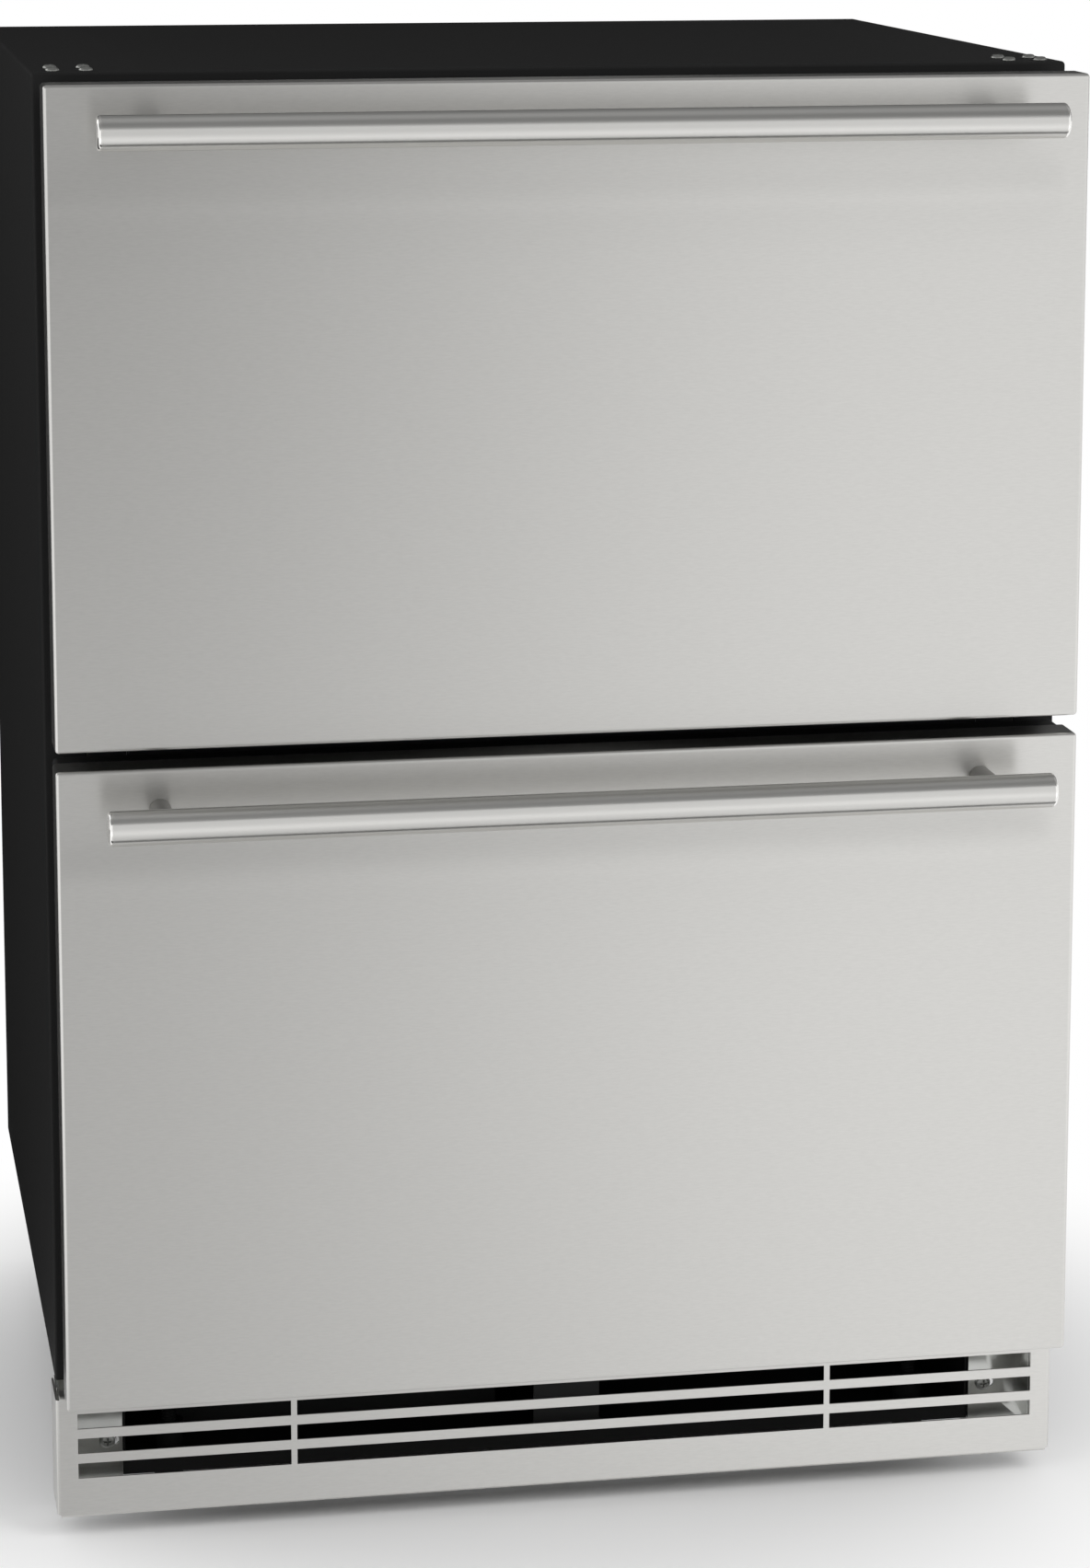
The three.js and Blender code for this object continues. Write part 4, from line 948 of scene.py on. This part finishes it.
def bar(drawer):
    """A circle carried along X, which shrinks in a quarter roll at each end."""
    low, high = box(f"{drawer}_handle_bar")
    centre = ((low + high) / 2)[[Y, Z]]
    radius = (high[Z] - low[Z]) / 2
    shrink, reach = np.array(fold(CHAMFER, 0.0, CHAMFER_STEPS)).T
    sizes = [*(radius - shrink), radius, radius, *(radius - shrink)[::-1]]
    straight = [low[X] + CHAMFER + HOLD, high[X] - CHAMFER - HOLD]
    places = [*(low[X] + reach), *straight, *(high[X] - reach)[::-1]]
    rings = [lay(circle(centre, size, BAR_SIDES), X, at) for size, at in zip(sizes, places)]
    made = build(f"{drawer}_bar", loft(rings))
    fit(made, f"{drawer}_drawer", "turned_stainless_bar", f"{drawer}_handle_bar")
    at_end = np.abs(face_centres(made)[:, X]) > high[X] - CHAMFER
    # The end faces get the finish whose paler colour is a painted highlight.
    second_finish(made, "polished_stainless_end_with_painted_highlight", at_end)
    return centre, radius


bars = {drawer: bar(drawer) for drawer in DRAWERS}

# %% Posts
POST_SIDES = 48


def post(drawer, side):
    """A circle carried along Y, from the bar: y = its middle + the root of R^2 - (z - middle)^2."""
    node = f"{drawer}_handle_post_{side}"
    (bar_y, bar_z), bar_radius = bars[drawer]
    low, high = box(node)
    centre = ((low + high) / 2)[[X, Z]]
    outline = circle(centre, (high[X] - low[X]) / 2, POST_SIDES)
    rise = outline[:, 1] - bar_z
    seat = bar_y + np.sqrt(bar_radius**2 - rise**2)
    coped = np.stack([outline[:, 0], seat, outline[:, 1]], -1)
    straight = lay(outline, Y, bar_y + bar_radius + HOLD)
    points, quads, lids = loft([coped, straight, lay(outline, Y, high[Y])])
    tip = len(points)
    points = np.concatenate([points, [[centre[0], bar_y + bar_radius, centre[1]]]])
    fan = np.stack([np.full(POST_SIDES, tip), lids[0], np.roll(lids[0], -1)], -1)
    made = build(f"{node}_coped", (points, quads, [*fan, lids[1]]))
    # The posts' darker colour is painted shade, from the bar and the door round them.
    fit(made, f"{drawer}_drawer", "painted_shade_stainless_post", node)


for drawer in DRAWERS:
    for side in SIDES:
        post(drawer, side)

# %% [markdown]
# ## Toe-kick grille
# The grille is punched and folded from one sheet: three rows of slots, a lip above and below, and
# a return at each end. It is drawn as a grid with a line at every break in width or height. A
# cell is left out where a slot is, and the cells past a fold lie further back.

# %% Folded sheet
GRILLE_FOLD = 2.2


def folded_axis(low, high, depth, breaks):
    """Places and depths across a pan: return, fold, face with its breaks, fold and return."""
    inset, back = np.array(fold(GRILLE_FOLD, 0.0))[::-1].T
    places = np.concatenate([[low], low + inset, breaks, (high - inset)[::-1], [high]])
    depths = np.concatenate([[depth], back, 0 * np.array(breaks), back[::-1], [depth]])
    flat = np.zeros(len(places) - 1, bool)
    flat[FOLD_STEPS + 1 : -FOLD_STEPS - 1] = True
    return places, depths, flat


def sheet_object(name, points, quads, thickness, edge):
    """A folded sheet: unused points are dropped, and the outside faces out."""
    used, quads = np.unique(quads, return_inverse=True)
    points = points[used]
    quads = quads.reshape(-1, 4)
    if enclosed(points, quads) < 0:
        quads = quads[:, ::-1]
    made = new_object(name, points, quads.tolist())
    shade(made)
    add_wall(made, thickness)
    bevel(made, edge)
    return made


print("a fold is drawn in", FOLD_STEPS, "steps")

# %% Grille
GRILLE_SHEET = 1.2
GRILLE_EDGE = 0.25
LIP = 12.0
SLOT_ROWS = 3
SLOT_HEIGHT = 9.2
SLOT_PITCH = 15.3
SLOT_TOP = 11.5
SLOT_SIDE = 12.7
SLOT_OUTER = 126.5
SLOT_DIVIDER = 3.7

low, high = box("toe_kick_grille")
left = low[X] + SLOT_SIDE
inner = left + SLOT_OUTER
columns = [(left, inner), (inner + SLOT_DIVIDER, -inner - SLOT_DIVIDER), (-inner, -left)]
tops = [high[Z] - SLOT_TOP - row * SLOT_PITCH for row in range(SLOT_ROWS)]
rows = [(top - SLOT_HEIGHT, top) for top in tops]
across, across_back, across_flat = folded_axis(
    low[X], high[X], high[Y] - low[Y], np.ravel(columns)
)
along, along_back, along_flat = folded_axis(low[Z], high[Z], LIP, np.sort(np.ravel(rows)))
grid = np.zeros((len(across), len(along), 3))
grid[..., X] = across[:, None]
grid[..., Y] = low[Y] + across_back[:, None] + along_back[None, :]
grid[..., Z] = along[None, :]
cell_x = (across[1:] + across[:-1]) / 2
cell_z = (along[1:] + along[:-1]) / 2
in_column = np.any([(cell_x > a) & (cell_x < b) for a, b in columns], axis=0)
in_row = np.any([(cell_z > a) & (cell_z < b) for a, b in rows], axis=0)
kept = (across_flat[:, None] | along_flat[None, :]) & ~(in_column[:, None] & in_row[None, :])
quads = grid_faces(len(across), len(along), wrap_columns=False)[kept.ravel()]
grille = sheet_object("grille_sheet", grid.reshape(-1, 3), quads, GRILLE_SHEET, GRILLE_EDGE)
fit(grille, "cabinet", "brushed_stainless_sheet", "toe_kick_grille")

# %% [markdown]
# ## Cabinet wrapper
# The black cabinet is one long sheet, bent up, over and down again, with a lip folded in along
# its front. Seen from the front it is an arch that shrinks inwards as it rolls over the front
# edge, so it is lofted like the drawer fronts, but left open at the bottom and at the back.

# %% Wrapper
SHELL_SHEET = 1.0
SHELL_EDGE = 0.2
SHELL_CORNER = 2.5
SHELL_FOLD = 1.6
SHELL_LIP = 25.0
ARCH_DROP = 100.0


def arch(low, high, inset):
    """Up one side, round two corners and down the other: a rounded rectangle without its base."""
    left, right = low[X] + inset, high[X] - inset
    base = (left, low[Z] - ARCH_DROP)
    ring = round_rectangle(base, (right, high[Z] - inset), SHELL_CORNER - inset)
    top = ring[: 2 * (ARC_STEPS + 1)]
    return np.concatenate([[[right, low[Z]]], top, [[left, low[Z]]]])


low, high = box("outer_shell")
steps = [(SHELL_LIP, low[Y]), (SHELL_FOLD + HOLD, low[Y]), *fold(SHELL_FOLD, low[Y])]
steps += [(0, low[Y] + SHELL_FOLD + HOLD), (0, high[Y])]
rings = np.array([lay(arch(low, high, inset), Y, level) for inset, level in steps])
quads = grid_faces(*rings.shape[:2], wrap_columns=False)
wrapper = sheet_object(
    "cabinet_wrapper", rings.reshape(-1, 3), quads, SHELL_SHEET, SHELL_EDGE
)
fit(wrapper, "cabinet", "black_powder_coat", "outer_shell")

# %% [markdown]
# ## Screws
# The cabinet's top and the grille's brackets carry small pan-head screws with a cross recess. A
# head is a polar grid of heights: a low dome, less a cross that gets shallower outwards.

# %% A screw head
HEAD_SIDES = 40
HEAD_RINGS = 14
HEAD_MIDDLE = 0.04
DOME_FALL = 0.75
DOME_POWER = 6
CROSS_WIDTH = 0.9
CROSS_REACH = 2.4
CROSS_SHARE = 0.55
ARM_SLOPE = 0.15
TIP_SLOPE = 0.4


def screw_head(radius, height):
    """Height over a disc: h (1 - 0.75 (r/R)^6), less a share of h where |x| or |y| is small."""
    angle = full_turn(HEAD_SIDES)[None, :]
    part = np.linspace(HEAD_MIDDLE, 1, HEAD_RINGS)[:, None]
    x = radius * part * np.cos(angle)
    y = radius * part * np.sin(angle)
    dome = height * (1 - DOME_FALL * part**DOME_POWER) + 0 * angle
    off_arm = np.minimum(np.abs(x), np.abs(y))
    inside = np.clip((CROSS_WIDTH / 2 - off_arm) / ARM_SLOPE, 0, 1)
    inside = inside * np.clip((CROSS_REACH - np.hypot(x, y)) / TIP_SLOPE, 0, 1)
    top = np.stack([x, y, dome - CROSS_SHARE * height * inside], -1)
    skirt = np.stack([x[-1], y[-1], 0 * x[-1]], -1)[None]
    return np.concatenate([top, skirt])


def shank(radius, length):
    """A plain stem below a head."""
    return np.array([lay(circle((0, 0), radius, HEAD_SIDES), Z, at) for at in (0, -length)])


def lying(rings, sign=1):
    """Lays a screw down: y and z change places. It faces the back, or the front for -1."""
    return rings[..., [X, Z, Y]] * [1, sign, 1]


print("a head has", HEAD_SIDES * HEAD_RINGS, "faces")

# %% Screws on the top
TOP_COLUMNS = (290.1, 271.1)
TOP_ROWS = (-184.8, -160.8)
TOP_HEAD_RADIUS = 4.0
TOP_HEAD_HEIGHT = 2.0
TOP_STEM_RADIUS = 2.2
TOP_STEM_LENGTH = 4.5
TOP_PLATE_DROP = 1.6
TOP_PLATE_CORNER = 2.0

for side, sign in SIDES.items():
    node = f"top_screws_{side}"
    low, high = box(node)
    seat_z = high[Z] - TOP_HEAD_HEIGHT
    head = screw_head(TOP_HEAD_RADIUS, TOP_HEAD_HEIGHT)
    stem = shank(TOP_STEM_RADIUS, TOP_STEM_LENGTH)
    seats = [(sign * column, row, seat_z) for column in TOP_COLUMNS for row in TOP_ROWS]
    shells = [loft(rings + seat) for seat in seats for rings in (head, stem)]
    steps = [(0, low[Z]), (0, seat_z - TOP_PLATE_DROP)]
    shells.append(loft(nested(low, high, Z, steps, TOP_PLATE_CORNER)))
    fit(build(f"{node}_heads", *shells), "cabinet", "passivated_zinc_screw", node)

# %% Screws in the brackets
BRACKET_HEAD_HEIGHT = 2.4
BRACKET_STEM_RADIUS = 2.0

for side in SIDES:
    node = f"bracket_screw_{side}"
    low, high = box(node)
    middle = (low + high) / 2
    head = screw_head((high[X] - low[X]) / 2, BRACKET_HEAD_HEIGHT)
    stem = shank(BRACKET_STEM_RADIUS, high[Y] - low[Y] - BRACKET_HEAD_HEIGHT)
    seat = [middle[X], low[Y] + BRACKET_HEAD_HEIGHT, middle[Z]]
    shells = [loft(lying(rings, -1) + seat) for rings in (head, stem)]
    fit(build(f"{node}_head", *shells), "cabinet", "passivated_zinc_screw", node)

# %% [markdown]
# ## Levelling legs
# Each leg is a foot pad, a hexagon to take a spanner and a threaded stem. The thread is not a
# separate coil: the stem's radius rises and falls along a line that climbs one pitch per turn.
# The pitch is twice a real one, so that the turns show in the render.

# %% A threaded stem
THREAD_PITCH = 2.0
THREAD_DEPTH = 0.9
THREAD_FLATNESS = 0.9
THREAD_STEPS = 8
STEM_PLAIN = 0.3
STEM_SIDES = 24


def thread(radius, low, high):
    """Radius as a wave of (height / pitch - angle / full turn), flattened at crest and root."""
    angle = full_turn(STEM_SIDES)[None, :]
    count = int((high - low) / THREAD_PITCH * THREAD_STEPS)
    height = np.linspace(low, high, count)[:, None]
    phase = height / THREAD_PITCH - angle / (2 * np.pi)
    wave = np.clip(0.5 + THREAD_FLATNESS * np.cos(2 * np.pi * phase), 0, 1)
    plain = (height <= low + STEM_PLAIN) | (height >= high - STEM_PLAIN)
    size = radius - THREAD_DEPTH * (1 - np.where(plain, 0, wave))
    return np.stack([size * np.cos(angle), size * np.sin(angle), height + 0 * angle], -1)


print("a thread climbs", THREAD_PITCH, "mm a turn")

# %% Legs
STEM_RADIUS = 4.8
STEM_START = 15.6
NUT_CORNERS = 19.6
NUT_POINTS = 36
NUT_PROFILE = [(1.6, 7.6), (0.2, 8.6), (0.2, 15), (1.6, 16)]
PAD_SIDES = 48
PAD_PROFILE = [(14.5, 0), (16.4, 0.5), (17, 1.6), (17, 3.2), (16.2, 4.4), (11.5, 7.2), (9.8, 8)]


def hexagon(inset):
    """A side lies at flat / cos(angle from its middle), and a circle cuts back the corners."""
    angle = full_turn(NUT_POINTS)
    flat = NUT_CORNERS / 2 * np.cos(np.pi / 6)
    side = flat / np.cos((angle + np.pi / 6) % (np.pi / 3) - np.pi / 6)
    size = np.minimum(side, NUT_CORNERS / 2 - inset)
    return np.stack([size * np.cos(angle), size * np.sin(angle)], -1)


for corner in ("front_left", "front_right", "rear_left", "rear_right"):
    node = f"leg_{corner}"
    low, high = box(node)
    middle = (low + high) / 2
    pad = [lay(circle((0, 0), radius, PAD_SIDES), Z, height) for radius, height in PAD_PROFILE]
    nut = [lay(hexagon(inset), Z, height) for inset, height in NUT_PROFILE]
    stem = thread(STEM_RADIUS, STEM_START, high[Z])
    shells = [loft(rings + middle * [1, 1, 0]) for rings in (pad, nut, stem)]
    fit(build(f"{node}_screw", *shells), f"{corner}_leg", "black_powder_coat", node)

# %% [markdown]
# ## Bins
# The bins are moulded tubs with thin walls and round corners. The lower one has a shelf at the
# back, over the machine compartment. A tub starts as its bare outside, open at the top: a side
# view carried across. A Bevel rounds its edges, a wall follows, and a finer Bevel takes the rim.

# %% Bins
BIN_WALL = 2.0
BIN_CORNER = 14.0
BIN_STEPS = 5
RIM_EDGE = 0.5
RIM_ANGLE = math.radians(60)
STEP_Y = 74.0
SHELF_Z = 301.3


def tub(drawer, base):
    """Carries a side view across the width: front rim, front foot, the base's points, rear rim."""
    node = f"{drawer}_bin"
    low, high = box(node)
    profile = [(low[Y], high[Z]), (low[Y], low[Z]), *base, (high[Y], high[Z])]
    points = np.concatenate([np.insert(profile, X, side[X], axis=1) for side in (low, high)])
    count = len(profile)
    faces = [[k, k + 1, k + 1 + count, k + count] for k in range(count - 1)]
    faces += [list(range(count))[::-1], list(range(count, 2 * count))]
    made = new_object(f"{node}_tub", points, faces)
    made.data.shade_smooth()
    bevel(made, BIN_CORNER, BIN_STEPS).harden_normals = False
    add_wall(made, BIN_WALL)
    bevel(made, RIM_EDGE).angle_limit = RIM_ANGLE
    fit(made, f"{drawer}_drawer", "bin_polypropylene", node)


low, high = box("upper_bin")
tub("upper", [(high[Y], low[Z])])
low, high = box("lower_bin")
tub("lower", [(STEP_Y, low[Z]), (STEP_Y, SHELF_Z), (high[Y], SHELF_Z)])

# %% [markdown]
# ## Pieces whose CAD shape is right
# The other parts are plain pressings and mouldings. Each gets a softened copy with its own finish
# and edge, from 0.2 mm on sheet to 1.2 mm on a moulding.

# %% Softened pieces
WHEEL_EDGE = 0.3
SLIDE_EDGE = 0.3
MOULDINGS = {"mullion_rail": 1.2, "fan_shroud": 0.4, "air_baffle": 0.3, "drain_pan": 0.6}
SHEETS = {"cabinet_bottom": 0.2, "compartment_wall": 0.2, "condenser_fan_motor": 0.5}
SOFTENED = {
    "galvanised_sheet": SHEETS,
    "black_powder_coat": {"base_pan": 0.3},
    "zinc_plate": {"grille_bracket_left": 0.4, "grille_bracket_right": 0.4},
    "black_abs": MOULDINGS | {"power_inlet": 0.4, "evaporator_fan_motor": 0.5},
    "grey_abs": {"control_box": 1.2},
    "white_polystyrene": {"evaporator_cover": 0.5},
    "lamp_polycarbonate": {"interior_lamp": 1.2},
    "gloss_black_acrylic": {"touch_panel": 0.8},
}
for finish, edges in SOFTENED.items():
    for node, edge in edges.items():
        fit(softened(node, edge), "cabinet", finish, node)
for name, finish in (("condenser", "black_abs"), ("evaporator", "white_polystyrene")):
    node = f"{name}_fan_wheel"
    fit(softened(node, WHEEL_EDGE), f"{name}_fan", finish, node)
for drawer in DRAWERS:
    for side in SIDES:
        for layer, body in (
            ("outer", "cabinet"),
            ("middle", f"{drawer}_slide_middles"),
            ("inner", f"{drawer}_drawer"),
        ):
            node = f"{drawer}_slide_{layer}_{side}"
            fit(softened(node, SLIDE_EDGE), body, "zinc_plate", node)

# %% [markdown]
# ## Liner
# The liner is white inside. The faces of its flange, which the gaskets close on, get the black
# plastic instead: painted shade, which keeps the gaps between the drawers dark. The trim is too
# thin to model, so the flange's faces get the black plastic instead.

# %% Liner with a black flange
LINER_EDGE = 0.6
FLANGE_DEPTH = 3.0

liner = softened("inner_liner", LINER_EDGE)
fit(liner, "cabinet", "white_polystyrene", "inner_liner")
low, high = box("inner_liner")
# The black on the flange's faces is painted shade for the gaps between the drawers.
second_finish(liner, "black_abs", face_centres(liner)[:, Y] < low[Y] + FLANGE_DEPTH)

# %% [markdown]
# ## Back panel
# The back panel is set in a little from the wrapper's edge, so that its flat screw heads end flush
# with it. The copy's points move forward by the height of a head.

# %% Back panel and its screws
PANEL_EDGE = 0.2
BACK_HEAD_RADIUS = 4.2
BACK_HEAD_HEIGHT = 0.25
BACK_MARGIN = 9.0
BACK_COLUMNS = 4
BACK_ROWS = 6

panel = softened("back_panel", PANEL_EDGE)
places = np.zeros(3 * len(panel.data.vertices))
panel.data.vertices.foreach_get("co", places)
places[Y::3] -= BACK_HEAD_HEIGHT / METRE
panel.data.vertices.foreach_set("co", places)
fit(panel, "cabinet", "galvanised_sheet", "back_panel")

low, high = box("back_panel")
across = np.linspace(low[X] + BACK_MARGIN, high[X] - BACK_MARGIN, BACK_COLUMNS)
along = np.linspace(low[Z] + BACK_MARGIN, high[Z] - BACK_MARGIN, BACK_ROWS)
rim = [(x, z) for x in across for z in along if x in across[[0, -1]] or z in along[[0, -1]]]
flat_head = lying(screw_head(BACK_HEAD_RADIUS, BACK_HEAD_HEIGHT))
heads = [loft(flat_head + [x, high[Y] - BACK_HEAD_HEIGHT, z]) for x, z in rim]
fit(build("back_panel_screws", *heads), "cabinet", "passivated_zinc_screw")

# %% [markdown]
# ## CAD nodes that keep their mesh
# The insulation, the compressor and the two coils are hidden or already round enough, so they
# keep the CAD mesh. Only their material is new.

# %% CAD nodes that keep their mesh
KEPT = {
    "foam_insulation": "polyurethane_foam",
    "compressor": "black_powder_coat",
    "condenser_coil": "rolled_aluminium",
    "evaporator_coil": "rolled_aluminium",
}
for node, finish in KEPT.items():
    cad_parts[node].data.materials.clear()
    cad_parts[node].data.materials.append(FINISHES[finish])
print("kept", list(KEPT))
